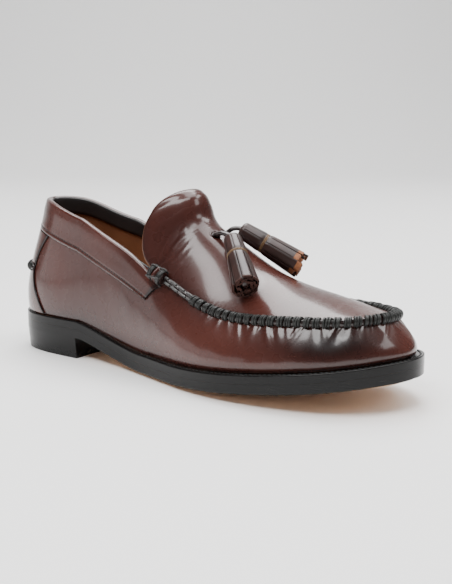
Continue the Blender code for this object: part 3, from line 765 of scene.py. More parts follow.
class NodeTree:
    """A short way to write a material's nodes."""

    def __init__(self, name: str) -> None:
        """Start a material with its shader and the object's own coordinates.

        Args:
            name: The material's name.
        """
        self.material = bpy.data.materials.new(name)
        self.material.use_nodes = True
        self.tree = self.material.node_tree
        self.shader = self.tree.nodes["Principled BSDF"]
        self.place = self.add("ShaderNodeTexCoord").outputs["Object"]

    def add(self, kind: str, **settings: object) -> bpy.types.Node:
        """Add a node and set its properties or the values of its inputs.

        Args:
            kind: The node's type.
            settings: Values by property, or by input in small letters.

        Returns:
            The node.
        """
        node = self.tree.nodes.new(kind)
        for name, value in settings.items():
            if hasattr(node, name):
                setattr(node, name, value)
            else:
                node.inputs[name.replace("_", " ").title()].default_value = value
        return node

    def link(self, source: Socket, target: Socket) -> None:
        """Join two sockets."""
        self.tree.links.new(source, target)

    def noise(self, scale: float, detail: float = 3.0, stretch: Vector | None = None) -> Socket:
        """A noise's value over the piece.

        Args:
            scale: Its cells to the metre.
            detail: How many finer layers it has.
            stretch: How many times finer it is along each axis.

        Returns:
            The value's socket.
        """
        node = self.add("ShaderNodeTexNoise", scale=scale, detail=detail)
        place = self.place
        if stretch is not None:
            mapping = self.add("ShaderNodeMapping", scale=stretch)
            self.link(place, mapping.inputs["Vector"])
            place = mapping.outputs["Vector"]
        self.link(place, node.inputs["Vector"])
        return node.outputs["Fac"]

    def cells(self, scale: float) -> Socket:
        """Distance to the nearest of scattered points, as the leather's pores lie.

        Args:
            scale: Points to the metre.

        Returns:
            The distance's socket.
        """
        node = self.add("ShaderNodeTexVoronoi", scale=scale)
        self.link(self.place, node.inputs["Vector"])
        return node.outputs["Distance"]

    def remap(
        self, value: Socket, low: float, high: float, to_low: float = 0.0, to_high: float = 1.0
    ) -> Socket:
        """A value moved from one range to another and clamped to it.

        Args:
            value: The value's socket.
            low: Where the first range starts.
            high: Where it ends.
            to_low: Where the second range starts.
            to_high: Where it ends.

        Returns:
            The new value's socket.
        """
        node = self.add("ShaderNodeMapRange", from_min=low, from_max=high, to_min=to_low, to_max=to_high)
        self.link(value, node.inputs["Value"])
        return node.outputs["Result"]

    def blend(self, share: Socket, first: Colour | Socket, second: Colour) -> Socket:
        """One colour turning into another by a share.

        Args:
            share: The share's socket.
            first: The colour at 0, or its socket.
            second: The colour at 1.

        Returns:
            The colour's socket.
        """
        node = self.add("ShaderNodeMix", data_type="RGBA")
        self.link(share, node.inputs["Factor"])
        if isinstance(first, tuple):
            node.inputs[6].default_value = (*first, 1.0)
        else:
            self.link(first, node.inputs[6])
        node.inputs[7].default_value = (*second, 1.0)
        return node.outputs[2]

    def shade(self) -> Socket:
        """The shade carried by the mesh's points."""
        return self.add("ShaderNodeAttribute", attribute_name="shade").outputs["Fac"]

    def raise_surface(self, heights: list[tuple[Socket, float]], distance: float) -> None:
        """Chain bumps.

        Args:
            heights: Each bump's height and strength.
            distance: How far a height of 1 stands out, in metres.
        """
        last = None
        for height, strength in heights:
            node = self.add("ShaderNodeBump", strength=strength, distance=distance)
            self.link(height, node.inputs["Height"])
            if last is not None:
                self.link(last, node.inputs["Normal"])
            last = node.outputs["Normal"]
        self.link(last, self.shader.inputs["Normal"])

    def set_shader(self, **values: float | tuple[float, ...] | Socket) -> None:
        """Set or link the shader's own sockets.

        Args:
            values: A value or a socket by name, with underscores for spaces.
        """
        for name, value in values.items():
            socket = self.shader.inputs[name.replace("_", " ")]
            if isinstance(value, Socket):
                self.link(value, socket)
            else:
                socket.default_value = value


@dataclass(frozen=True)
class Leather:
    """A leather: two colours that cloud into each other, pores, fibres and a polish.

    Attributes:
        name: The finish's name.
        deep: The colour where it is darkest.
        lit: The colour where the top coat is rubbed through.
        burnish_and_shade: The colour where the mesh's shade is 1: burnished seams and dyed edges, and painted
            shade where a piece darkens its slots, stitch gaps, roll ends and toe.
        roughness: The lowest and the highest roughness.
        coat: The weight of the clear polish.
        coat_roughness: The polish's roughness.
        specular: How strongly the leather itself shines.
        pore: The strength of the fine pores.
        ripple: The strength of the slow unevenness that bends reflections.
        cloud: Cells of colour to the metre.
    """

    name: str
    deep: Colour
    lit: Colour
    burnish_and_shade: Colour
    roughness: tuple[float, float] = (0.22, 0.32)
    coat: float = 0.6
    coat_roughness: float = 0.10
    specular: float = 0.30
    pore: float = 0.04
    ripple: float = 0.08
    cloud: float = 38.0

    def make(self) -> Material:
        """Write the leather's nodes.

        Returns:
            Its material.
        """
        nodes = NodeTree(self.name)
        colour = nodes.blend(nodes.remap(nodes.noise(self.cloud, 1.5), 0.25, 0.75), self.deep, self.lit)
        nodes.set_shader(
            Base_Color=nodes.blend(nodes.shade(), colour, self.burnish_and_shade),
            Roughness=nodes.remap(nodes.noise(self.cloud * 9, 1.5), 0.1, 0.9, *self.roughness),
            Coat_Weight=self.coat,
            Coat_Roughness=self.coat_roughness,
            Specular_IOR_Level=self.specular,
        )
        slow = (nodes.noise(70.0, 2.0), self.ripple)
        fine = (nodes.noise(5200.0, 2.0), self.pore)
        nodes.raise_surface([slow, (nodes.cells(2600.0), self.pore), fine], 0.0002)
        return nodes.material


@dataclass(frozen=True)
class Thread:
    """A waxed thread: plies that wind round it, and a low shine."""

    name: str
    dark: Colour
    light: Colour
    coat: float = 0.25

    def make(self) -> Material:
        """Write the thread's nodes.

        Returns:
            Its material.
        """
        nodes = NodeTree(self.name)
        ply = nodes.noise(2400.0, 2.0)
        nodes.raise_surface([(ply, 0.5)], 0.0002)
        nodes.set_shader(
            Base_Color=nodes.blend(nodes.remap(ply, 0.35, 0.7), self.dark, self.light),
            Roughness=0.38,
            Coat_Weight=self.coat,
            Coat_Roughness=0.3,
            Specular_IOR_Level=0.25,
        )
        return nodes.material


@dataclass(frozen=True)
class Edge:
    """A cut edge, waxed and ironed: fibres run along it under a hard shine.

    Attributes:
        name: The finish's name.
        dark: Its colour.
        light: The colour of its fibres.
        roughness: The lowest and the highest roughness.
        fibre: The strength of the fibres.
    """

    name: str
    dark: Colour
    light: Colour
    roughness: tuple[float, float] = (0.16, 0.24)
    fibre: float = 0.012

    def make(self) -> Material:
        """Write the edge's nodes.

        Returns:
            Its material.
        """
        nodes = NodeTree(self.name)
        strand = nodes.noise(260.0, 4.0, Vector((0.35, 0.35, 7.0)))
        nodes.raise_surface([(nodes.noise(60.0, 2.0), 0.10), (strand, self.fibre)], 0.0001)
        nodes.set_shader(
            Base_Color=nodes.blend(nodes.remap(strand, 0.42, 0.75), self.dark, self.light),
            Roughness=nodes.remap(nodes.noise(420.0, 3.0), 0.3, 0.7, *self.roughness),
            Coat_Weight=0.0,
            Coat_Roughness=0.12,
            Specular_IOR_Level=0.20,
        )
        return nodes.material


@dataclass(frozen=True)
class SoleLeather:
    """Natural bottom leather: pale tan with fine fibre, soft clouds and a faint polish."""

    name: str = "natural sole leather"
    pale: Colour = (0.70, 0.44, 0.27)
    deep: Colour = (0.58, 0.34, 0.19)
    mark: Colour = (0.20, 0.10, 0.05)

    def make(self) -> Material:
        """Write the sole leather's nodes.

        Returns:
            Its material.
        """
        nodes = NodeTree(self.name)
        colour = nodes.blend(nodes.remap(nodes.noise(30.0, 5.0), 0.35, 0.7), self.pale, self.deep)
        nodes.raise_surface([(nodes.cells(1500.0), 0.12), (nodes.noise(900.0, 4.0), 0.10)], 0.0003)
        nodes.set_shader(
            Base_Color=nodes.blend(nodes.shade(), colour, self.mark),
            Roughness=nodes.remap(nodes.noise(300.0, 3.0), 0.3, 0.7, 0.38, 0.55),
            Coat_Weight=0.12,
            Coat_Roughness=0.3,
        )
        return nodes.material


class Finishes:
    """Every finish on the shoe, made once."""

    def __init__(self) -> None:
        """Make the materials from their descriptions."""
        self.upper = Leather(
            "burgundy brush-off leather",
            deep=(0.033, 0.0088, 0.0066),
            lit=(0.076, 0.0222, 0.0162),
            burnish_and_shade=(0.006, 0.0018, 0.0016),
            roughness=(0.25, 0.30),
            coat=0.45,
            coat_roughness=0.11,
            pore=0.02,
            cloud=16.0,
        ).make()
        self.tassel = Leather(
            "tassel leather",
            deep=(0.016, 0.0072, 0.0060),
            lit=(0.040, 0.0170, 0.0140),
            burnish_and_shade=(0.006, 0.0030, 0.0028),
            roughness=(0.30, 0.42),
            coat=0.22,
            coat_roughness=0.24,
            specular=0.34,
            pore=0.03,
            ripple=0.03,
            cloud=90.0,
        ).make()
        pale_ends = Leather(
            "raw cut ends",
            deep=(0.16, 0.055, 0.025),
            lit=(0.34, 0.13, 0.055),
            burnish_and_shade=(0.05, 0.02, 0.012),
            roughness=(0.6, 0.8),
            coat=0.0,
            pore=0.5,
            cloud=600.0,
        )
        self.raw = pale_ends.make()
        # A darker copy of the raw ends: painted shadow on the outer tassel's cut ends.
        self.raw_shadowed = replace(
            pale_ends,
            name="raw cut ends, painted shadow",
            deep=(0.020, 0.007, 0.005),
            lit=(0.058, 0.020, 0.014),
            burnish_and_shade=(0.015, 0.007, 0.005),
        ).make()
        self.lining = Leather(
            "tan lining leather",
            deep=(0.155, 0.060, 0.028),
            lit=(0.235, 0.098, 0.047),
            burnish_and_shade=(0.085, 0.033, 0.016),
            roughness=(0.38, 0.52),
            coat=0.10,
            coat_roughness=0.3,
            pore=0.22,
        ).make()
        self.binding = Leather(
            "black collar lining",
            deep=(0.016, 0.014, 0.014),
            lit=(0.034, 0.030, 0.030),
            burnish_and_shade=(0.010, 0.009, 0.009),
            roughness=(0.30, 0.42),
            coat=0.25,
        ).make()
        self.lace = Leather(
            "black lace leather",
            deep=(0.012, 0.008, 0.008),
            lit=(0.030, 0.018, 0.017),
            burnish_and_shade=(0.006, 0.005, 0.005),
            roughness=(0.22, 0.36),
            coat=0.5,
            cloud=200.0,
        ).make()
        black = ((0.008, 0.0082, 0.0078), (0.031, 0.0312, 0.0295))
        self.thread = Thread("waxed black thread", *black, coat=0.0).make()
        # Grey thread: the running stitches' colour, and painted highlight on the bound rolls' ties and cords.
        grey = ((0.018, 0.0175, 0.018), (0.060, 0.058, 0.056))
        self.grey_thread_and_highlight = Thread("waxed grey thread and painted highlight", *grey).make()
        self.brown_thread = Thread("brown tie thread", (0.10, 0.055, 0.025), (0.22, 0.13, 0.06)).make()
        self.edge = Edge("black waxed edge", (0.004, 0.0038, 0.0038), (0.007, 0.0066, 0.0066)).make()
        rubber = ((0.005, 0.005, 0.005), (0.010, 0.010, 0.010))
        self.lift = Edge("black top lift", *rubber, roughness=(0.22, 0.32)).make()
        self.sole = SoleLeather().make()


def section_loop(outer: Array, inner: Array, steps: int = 5) -> Array:
    """Closed sections of a sheet: along its outer face, round its edge, back inside and round again.

    Each round edge is a half circle about the middle of the sheet's edge, in the plane of the sheet's
    thickness and its direction across.

    Args:
        outer: Rows by columns of the outer face.
        inner: The same points of the inner face.
        steps: Steps round each edge.

    Returns:
        Rows by points; the last point joins the first.
    """
    turns = np.linspace(0, np.pi, steps + 1)[1:-1]
    edges = []
    for first, second, beyond in (
        (outer[:, -1], inner[:, -1], outer[:, -1] - outer[:, -2]),
        (inner[:, 0], outer[:, 0], outer[:, 0] - outer[:, 1]),
    ):
        radius = (first - second) / 2
        reach = np.linalg.norm(radius, axis=-1, keepdims=True) * unit(beyond)
        edges.append(((first + second) / 2)[:, None] + circle(turns, radius[:, None], reach[:, None]))
    return np.concatenate((outer, edges[0], inner[:, ::-1], edges[1]), axis=1)


def add_sheet(piece: Piece, outer: Array, inner: Array, lining: int = 0, shade: Array | float = 0.0) -> None:
    """Add a sheet's two faces, its round side edges and its flat first and last ends to a piece.

    Args:
        piece: The piece that the sheet joins.
        outer: Rows by columns of its outer face.
        inner: The same points of its inner face.
        lining: Which of the piece's finishes the inner face wears.
        shade: The shade of its points.
    """
    columns = outer.shape[1]
    loop = section_loop(outer, inner)
    round_edge = (loop.shape[1] - 2 * columns) // 2
    shade = np.broadcast_to(shade, outer.shape[:2])
    side = shade[:, -1:].repeat(round_edge, axis=1)
    around = np.concatenate((shade, side, shade[:, ::-1], side), axis=1)
    reach = columns + round_edge
    piece.add(loop[:, : reach + 1], shade=around[:, : reach + 1])
    back = np.concatenate((loop[:, reach:], loop[:, :1]), axis=1)
    back_shade = np.concatenate((around[:, reach:], around[:, :1]), axis=1)
    piece.add(back, finish=lining, shade=back_shade)
    for row in (0, -1):
        piece.add(np.stack((outer[row], inner[row])), shade=np.stack((shade[row], shade[row])))


@dataclass
class Sole:
    """Everything below the upper: outsole, welt, heel and insole, with their stitches."""

    finishes: Finishes
    steps_round: int = 1080
    corner: float = 0.0007
    heel_corner: float = 0.05
    corner_fade: float = 0.0080
    lip: float = 0.00004
    side_shares: tuple[float, ...] = (0.03, 0.2, 0.4, 0.6, 0.8, 0.97)
    rim_inset: float = 0.0136
    rim_steps: int = 42
    channel_inset: float = 0.0058
    channel_half: float = 0.0008
    channel_depth: float = 0.0006
    channel_shade: float = 0.75
    channel_reach: float = 4.9
    channel_fade: float = 0.3
    channel_pitch: float = 0.0040
    inner_inset: float = 0.0125
    inner_reach: float = 6.3
    inner_pitch: float = 0.0046
    inner_high: float = 0.0001
    sole_thread: float = 0.00028
    heel_taper: float = 0.0012
    heel_bevel: float = 0.00008
    breast_curve: float = 0.0030
    breast_fade: float = 4.0
    breast_steps: float = 1.4
    welt_corner: float = 0.0007
    welt_foot: float = 0.00028
    welt_slope: float = 0.0002
    welt_stitch_inset: float = 0.0021
    welt_stitch_pitch: float = 0.0029
    welt_stitch_reach: float = 4.6
    welt_thread: float = 0.00032
    groove_deep: float = 0.0003
    groove_half: float = 0.0005
    sock_corner: float = 0.0012
    sock_dish: float = 0.0009
    sock_narrow: float = 0.04

    def ring(self) -> Array:
        """Places once round the sole."""
        return np.linspace(0, LAST.rows, self.steps_round, endpoint=False)

    def under(self, places: Array, inset: Array | float) -> Array:
        """Points of the underside a distance inside the edge, hollowed along the stitched channel.

        The height is the arch plus the edge's lift, plus a bell across the channel's line.

        Args:
            places: Places round the shoe.
            inset: How far inside the edge each point lies.

        Returns:
            Points, in the shape that places and inset have together.
        """
        places, inset = np.broadcast_arrays(places, inset)
        plan = LAST.inset_plan(places, inset)
        wide = np.linalg.norm(LAST.edge_plan(places) - LAST.edge_plan(LAST.rows - places), axis=-1)
        share = np.clip(inset / np.maximum(wide, MEET), 0, 0.5)
        height = LAST.arch_rise(plan[..., 0]) + LAST.belly(plan[..., 0], share, wide)
        reach = np.abs(places - LAST.toe_row)
        fore = 1 - smooth_step(self.channel_reach - self.channel_fade, self.channel_reach, reach)
        channel = self.channel_depth * bell(inset, self.channel_inset, self.channel_half)
        return stand(plan, height + channel * fore)

    def over(self, places: Array, inset: float) -> Array:
        """Points of the outsole's top a distance inside the edge."""
        plan = LAST.inset_plan(places, np.full(len(places), inset))
        return stand(plan, LAST.arch_rise(plan[..., 0]) + LAST.edge_rise(plan[..., 0]) + LAST.outsole)

    def across_ring(self, ring: Array, steps: int) -> Array:
        """Straight lines across a ring, from each place on the outer side to its mirror place.

        Args:
            ring: Points once round, from the heel's back.
            steps: Steps along each line.

        Returns:
            Lines by points.
        """
        half = len(ring) // 2
        inner = np.concatenate((ring[:1], ring[: half - 1 : -1]))
        return between(ring[: half + 1], inner, np.linspace(0, 1, steps + 1))

    def middle_height(self, points: Array, edge: Array) -> Array:
        """Heights inside the rings: the arch plus the rings' lift times (2s - 1)^2 across.

        Args:
            points: Lines by points inside the rings, without their two ends.
            edge: The height at the end of each line.

        Returns:
            A height for each point.
        """
        share = np.linspace(0, 1, points.shape[1] + 2)[None, 1:-1]
        lift = edge - LAST.arch_rise(points[:, :1, 0])
        return LAST.arch_rise(points[..., 0]) + lift * (2 * share - 1) ** 2

    def side(self, places: Array, corner: Array) -> Array:
        """The outsole's side: a quarter round below, a straight run and a fine quarter round above.

        Args:
            places: Places round the shoe.
            corner: The lower corner's radius at each.

        Returns:
            Places by points up the side.
        """
        turn = np.radians(np.linspace(90, 0, 5))[None, :, None]
        out = stand(LAST.outward(places), np.zeros(len(places)))[:, None]
        rise = np.array([0.0, 0.0, 1.0])
        bend = np.cos(turn) * out + (1 - np.sin(turn)) * rise
        low = self.under(places, corner)[:, None] + corner[:, None, None] * bend
        turn = turn[:, ::-1]
        top = self.over(places, self.lip)[:, None]
        top = top + self.lip * (np.cos(turn) * out - (1 - np.sin(turn)) * rise)
        return np.concatenate((low, between(low[:, -1], top[:, 0], np.array(self.side_shares)), top), axis=1)

    def outsole(self) -> None:
        """The outsole: rings of the underside, a ladder inside them, a round-cornered side and a top."""
        places = self.ring()
        finishes = [self.finishes.sole, self.finishes.edge]
        piece = Piece("outsole_leather", Part.SOLE, finishes, stands_for=("outsole",))
        breast = LAST.breast_along
        fore = smooth_step(breast, breast + self.corner_fade, LAST.edge_plan(places)[:, 0])
        corner = self.corner * (self.heel_corner + (1 - self.heel_corner) * fore)
        insets = corner[:, None] + (self.rim_inset - corner[:, None]) * np.linspace(0, 1, self.rim_steps)
        rings = self.under(places[:, None], insets)
        channel = self.channel_shade * bell(insets, self.channel_inset, self.channel_half)
        stitched = (np.abs(places - LAST.toe_row) < self.channel_reach)[:, None]
        piece.add(rings, wrap_rows=True, shade=channel * stitched)
        middle = self.across_ring(rings[:, -1], 14)
        middle[:, 1:-1, 2] = self.middle_height(middle[:, 1:-1], middle[:, :1, 2])
        piece.add(middle)
        piece.add(self.side(places, corner), finish=1, wrap_rows=True)
        piece.add(self.across_ring(self.over(places, self.lip), 10))
        piece.build()

    def sole_stitches(self) -> None:
        """Two rows under the sole: the sunk channel's stitches and the inner row up to the heel."""
        piece = Piece("sole_stitching", Part.THREAD, [self.finishes.brown_thread])
        for inset, reach, pitch, high in (
            (self.channel_inset, self.channel_reach, self.channel_pitch, 0.0),
            (self.inner_inset, self.inner_reach, self.inner_pitch, self.inner_high),
        ):
            fine = np.linspace(LAST.toe_row - reach, LAST.toe_row + reach, 900)
            starts, ends = stitch_places(self.under(fine, inset), fine, pitch, (0.15, 0.80))
            off = np.tile((0.0, 0.0, -1.0), (len(starts), 1))
            line = (self.under(starts, inset), self.under(ends, inset))
            piece.add_tubes(arched_stitches(*line, off, self.sole_thread, high))
        piece.build()

    def welt(self) -> None:
        """The welt: one closed section carried round, with a round top corner and a stitch groove.

        The section goes up the side, round a quarter circle and along the top, which falls slowly
        inwards and is hollowed by a bell under the stitches.
        """
        places = self.ring()
        reach = (LAST.around("reach", places) * LAST.welt_reach + LAST.wall)[:, None]
        turn = np.radians(np.linspace(0, 90, 7))
        corner, foot = self.welt_corner, self.welt_foot
        side = np.concatenate(([self.lip, 0, 0, 0, 0], corner * (1 - np.cos(turn))))
        upright = [-foot, self.lip - foot, 3 * self.lip - foot, LAST.welt / 2, LAST.welt - corner - 0.0001]
        side_rise = np.concatenate((upright, LAST.welt - corner * (1 - np.sin(turn))))
        share = np.linspace(0, 1, 26)[1:]
        top = corner + (reach - corner) * share
        fore = 1 - smooth_step(4.4, 4.9, np.abs(places - LAST.toe_row))[:, None]
        groove = self.groove_deep * bell(top, self.welt_stitch_inset, self.groove_half) * fore
        every = np.ones((len(places), 1))
        insets = np.concatenate((every * side, top, reach), axis=1)
        top_rise = LAST.welt - self.welt_slope * share - groove
        rises = np.concatenate((every * side_rise, top_rise, every * -0.00025), axis=1)
        plan = LAST.inset_plan(places[:, None], insets)
        piece = Piece("welt_strip", Part.EDGE, [self.finishes.edge], stands_for=("welt",))
        piece.add(stand(plan, LAST.welt_base(plan[..., 0]) + rises), wrap_rows=True, wrap_columns=True)
        piece.build()

    def welt_line(self, places: Array) -> Array:
        """Points along the welt's stitch groove."""
        plan = LAST.inset_plan(places, self.welt_stitch_inset)
        return stand(plan, LAST.seat(plan[..., 0]) - self.groove_deep)

    def welt_stitches(self) -> None:
        """The row of stitches along the welt's top, round the forepart."""
        piece = Piece("welt_stitching", Part.THREAD, [self.finishes.thread])
        reach = self.welt_stitch_reach
        fine = np.linspace(LAST.toe_row - reach, LAST.toe_row + reach, 1200)
        starts, ends = stitch_places(self.welt_line(fine), fine, self.welt_stitch_pitch, (0.10, 0.90))
        off = np.tile((0.0, 0.0, 1.0), (len(starts), 1))
        line = (self.welt_line(starts), self.welt_line(ends))
        piece.add_tubes(arched_stitches(*line, off, self.welt_thread, 0.00035))
        piece.build()

    def heel_grid(self, height: float) -> Array:
        """The heel's plan at a height: lines across from its back to its curved breast.

        The plan is the sole's edge, tapered evenly to the floor. Its breast is hollowed by the curve
        times 1 - (2c - 1)^2 across, which fades towards the heel's back.

        Args:
            height: The height above the floor.

        Returns:
            Lines by points.
        """
        outer = np.linspace(0, LAST.toe_row, 901)
        inner = LAST.rows - outer
        outer_end = np.interp(LAST.breast_along, LAST.edge_plan(outer)[:, 0], outer)
        inner_end = np.interp(LAST.breast_along, LAST.edge_plan(inner)[:, 0], inner)
        share = np.linspace(0, 1, 97) ** self.breast_steps
        across = np.linspace(0, 1, 25)
        inset = np.full(len(share), self.heel_taper * (1 - height / LAST.heel_height))
        first = LAST.inset_plan(outer_end * share, inset)
        last = LAST.inset_plan(LAST.rows + (inner_end - LAST.rows) * share, inset)
        plan = between(first, last, across)
        curve = self.breast_curve * (1 - (2 * across - 1) ** 2)
        plan[..., 0] -= share[:, None] ** self.breast_fade * curve[None, :]
        return stand(plan, np.full(plan.shape[:2], height))

    def heel_layer(
        self, name: str, node: str, levels: tuple[float, float], slot: Part, finish: Material
    ) -> None:
        """A block of the heel: its plan at two levels, joined and finely rounded.

        Args:
            name: The piece's name.
            node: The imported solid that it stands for.
            levels: The heights of its underside and its top.
            slot: Its material slot.
            finish: Its finish.
        """
        grids = [self.heel_grid(height) for height in levels]
        loops = [np.concatenate((grid[:, 0], grid[-1, 1:], grid[-2::-1, -1][:-1])) for grid in grids]
        piece = Piece(name, slot, [finish], stands_for=(node,), smooth_angle=35.0)
        piece.add(np.stack(loops), wrap_columns=True)
        for grid in grids:
            piece.add(grid)
        bevel = piece.build().modifiers.new("edge", "BEVEL")
        bevel.width = self.heel_bevel
        bevel.segments = 3
        bevel.limit_method = "ANGLE"
        bevel.angle_limit = math.radians(50)
        bevel.use_clamp_overlap = True

    def sock(self) -> None:
        """The insole's leather: a slab inside the wall all round, its top dished as 1 - (2s - 1)^2."""
        places = self.ring()
        inset = LAST.around("reach", places) * LAST.welt_reach + LAST.wall + 2 * LAST.gap
        corner = self.sock_corner
        plan = LAST.inset_plan(places[:, None], inset[:, None] + corner * np.array([0, 0, 1 / 3, 1]))
        rises = np.array([0.0, LAST.insole - corner, LAST.insole - corner / 4, LAST.insole])
        side = stand(plan, LAST.welt_base(plan[..., 0]) + rises)
        piece = Piece("insole_leather", Part.LINING, [self.finishes.lining], stands_for=("insole",))
        piece.add(side, wrap_rows=True)
        piece.add(self.across_ring(side[:, 0], 8))
        top = self.across_ring(side[:, -1], 32)
        share = np.linspace(0, 1, 33)[None, :]
        wide = np.linalg.norm(top[:, -1] - top[:, 0], axis=1)[:, None]
        top[..., 2] -= self.sock_dish * (1 - (2 * share - 1) ** 2) * np.clip(wide / self.sock_narrow, 0, 1)
        piece.add(top)
        piece.build()

    def build(self) -> None:
        """Make every piece of the sole."""
        self.outsole()
        self.welt()
        heel = (LAST.top_lift, LAST.heel_height)
        self.heel_layer("heel_lifts", "heel_stack", heel, Part.EDGE, self.finishes.edge)
        self.heel_layer("heel_top_piece", "top_lift", (0.0, LAST.top_lift), Part.LIFT, self.finishes.lift)
        self.sock()
        self.sole_stitches()
        self.welt_stitches()


@dataclass
class Upper:
    """The moccasin's leather: vamp and quarters in one wall, apron, tongue, collar and back stay."""

    finishes: Finishes
    steps_round: int = 1200
    steps_up: int = 56
    steps_inside: int = 14
    gather_pitch: float = 0.0066
    gather_high: float = 0.00100
    gather_seed: int = 11
    gather_half: tuple[float, float] = (0.15, 0.25)
    gather_long: tuple[float, float] = (0.0060, 0.0125)
    gather_lean: tuple[float, float] = (-0.45, 0.35)
    gather_size: tuple[float, float] = (0.65, 1.25)
    pleat_places: tuple[float, float] = (0.30, 0.62)
    pleat_size: tuple[float, float] = (0.20, 0.55)
    pleat_long: tuple[float, float] = (0.4, 0.8)
    slack_high: float = 0.00011
    foot_shade: float = 0.75
    seam_shade: float = 0.55
    band_drop: float = 0.0193
    band_thick: float = 0.0009
    band_end: float = 4.62
    band_slant_from: float = 3.9
    band_slant: float = 0.34
    band_end_drop: float = 0.12
    band_inside: float = 0.0100
    band_pad: float = 0.0004
    groove_drop: float = 0.0026
    groove_deep: float = 0.0003
    stay_thick: float = 0.0010
    stay_foot: float = 0.0006
    stay_edge: float = 0.0009
    row_long: float = 0.0145
    tongue_thick: float = 0.0024
    tongue_start: float = 0.001
    tongue_end: float = 0.9995
    tongue_wave: float = 0.00022
    tongue_pillow: float = 0.0005
    throat_reach: float = 0.013
    throat_wide: float = 0.066
    throat_fade: float = 0.14
    crease_deep: float = 0.00030
    crease_half: float = 0.00085
    crease_ridge: float = 0.35
    lap_share: float = 0.07
    lap_width: float = 0.80
    lap_thick: float = 0.0016
    dimple_pitch: float = 0.0033
    dimple_deep: float = 0.00018
    apron_wave: float = 0.00012
    slot_half: float = 0.0032
    slot_deep: float = 0.0013

    def gathers(self, places: Array, run: Array, drop: Array) -> Array:
        """How far the wall stands out in gathers under the moccasin seam.

        Each gather is a bell across the run of the seam, leaning as it goes down, times a fade
        down the wall, with two small pleats beside it; between them the stitches pull the wall in.

        Args:
            places: Places round the shoe.
            run: The distance along the seam at each place.
            drop: The distance below the seam at each point.

        Returns:
            Heights off the wall, in the shape of drop.
        """
        random = np.random.default_rng(self.gather_seed)
        ends = np.interp((5.0, 13.0), places, run)
        relief = np.zeros(drop.shape)
        for index in range(int((ends[1] - ends[0]) / self.gather_pitch)):
            middle = ends[0] + (index + 0.5 + random.uniform(-0.14, 0.14)) * self.gather_pitch
            half = self.gather_pitch * random.uniform(*self.gather_half)
            long = random.uniform(*self.gather_long)
            lean = random.uniform(*self.gather_lean)
            high = random.uniform(*self.gather_size)
            fade = np.exp(-((drop / long) ** 1.6))
            relief += high * bell(run[:, None], middle + lean * drop, half + 0.10 * drop) * fade
            for place in self.pleat_places:
                beside = middle + (place + random.uniform(-0.08, 0.08)) * self.gather_pitch
                size = random.uniform(*self.pleat_size)
                streak = bell(run[:, None], beside + 1.6 * lean * drop, 0.55 * half)
                fade = bell(drop, 0.0, random.uniform(*self.pleat_long) * long)
                relief += size * fade * streak * smooth_step(0, 0.002, drop)
        strength = smooth_step(5.2, 6.8, places) * (1 - smooth_step(11.2, 12.8, places))
        strength = strength * (1 - 0.75 * bell(places, LAST.toe_row, 0.75))
        strength = strength * (0.62 + 0.38 * bell(places, LAST.toe_row, 1.9))
        near = smooth_step(0.0, 0.0012, drop)
        return strength[:, None] * near * self.gather_high * (relief - 0.45 * np.exp(-drop / 0.005))

    def slack(self, places: Array, heights: Array) -> Array:
        """The wall's slow unevenness: three crossed waves that fade at its foot and rim.

        Args:
            places: Places round the shoe.
            heights: Wall heights, a row for each place.

        Returns:
            Heights off the wall.
        """
        turn = 2 * np.pi * places[:, None]
        fade = np.sin(np.pi * np.clip(heights, 0, 1))
        fore = 0.35 + 0.65 * bell(places, LAST.toe_row, 3.6)[:, None]
        waves = np.sin(turn * 0.95 + 5.0 * heights) + 0.7 * np.sin(turn * 1.55 - 4.0 * heights + 1.0)
        return self.slack_high * fade * fore * (waves + 0.5 * np.sin(turn * 2.6 + 7.0 * heights))

    def vamp(self) -> None:
        """The wall: outer face with its gathers, a soft top edge and the lining inside, one closed shell.

        The levels crowd towards the rim as 1 - (1 - s)^1.5. The top edge is half an ellipse from the
        outer face to the inner one.
        """
        places = np.linspace(0, LAST.rows, self.steps_round, endpoint=False)
        run = run_along(LAST.rim(np.append(places, LAST.rows)))[:-1]
        share = 1 - (1 - np.linspace(0, 1, self.steps_up + 1)) ** 1.5
        heights = np.broadcast_to(share[None, :], (len(places), len(share)))
        drop = LAST.drop_below_rim(places, heights)
        off = self.gathers(places, run, drop) + self.slack(places, heights)
        around = places[:, None]
        outer = LAST.on_wall(around, heights, off)
        top = np.ones(around.shape)
        normal = LAST.wall_normal(around, top)
        up = unit(LAST.wall_face(around, top) - LAST.wall_face(around, 0.98 * top))
        crest = outer[:, -1:] - normal * LAST.wall / 2
        crest = crest + LAST.wall / 2 * circle(np.linspace(0, np.pi, 7)[1:-1], normal, 0.5 * up)
        inner = LAST.on_wall(around, np.linspace(1, 0, self.steps_inside + 1), -LAST.wall)
        finishes = [self.finishes.upper, self.finishes.lining, self.finishes.edge]
        piece = Piece("vamp_and_quarters", Part.UPPER, finishes, stands_for=("upper",))
        foot = self.foot_shade * np.exp(-heights / 0.05)
        under_seam = np.abs(around - LAST.toe_row) < LAST.throat_reach
        seam = self.seam_shade * np.exp(-drop / 0.0025) * under_seam
        # Painted shade: the toe's outer side darkens towards the burnish colour in a soft patch.
        toe = bell(around, LAST.toe_row - 1.2, 1.0) * bell(heights, 0.56, 0.46)
        piece.add(outer, wrap_rows=True, shade=np.clip(foot + seam + toe, 0, 1))
        piece.add(np.concatenate((outer[:, -1:], crest, inner[:, :1]), axis=1), wrap_rows=True, finish=2)
        piece.add(inner, wrap_rows=True, finish=1)
        piece.add(np.stack((inner[:, -1], outer[:, 0]), axis=1), wrap_rows=True, finish=2)
        piece.build()

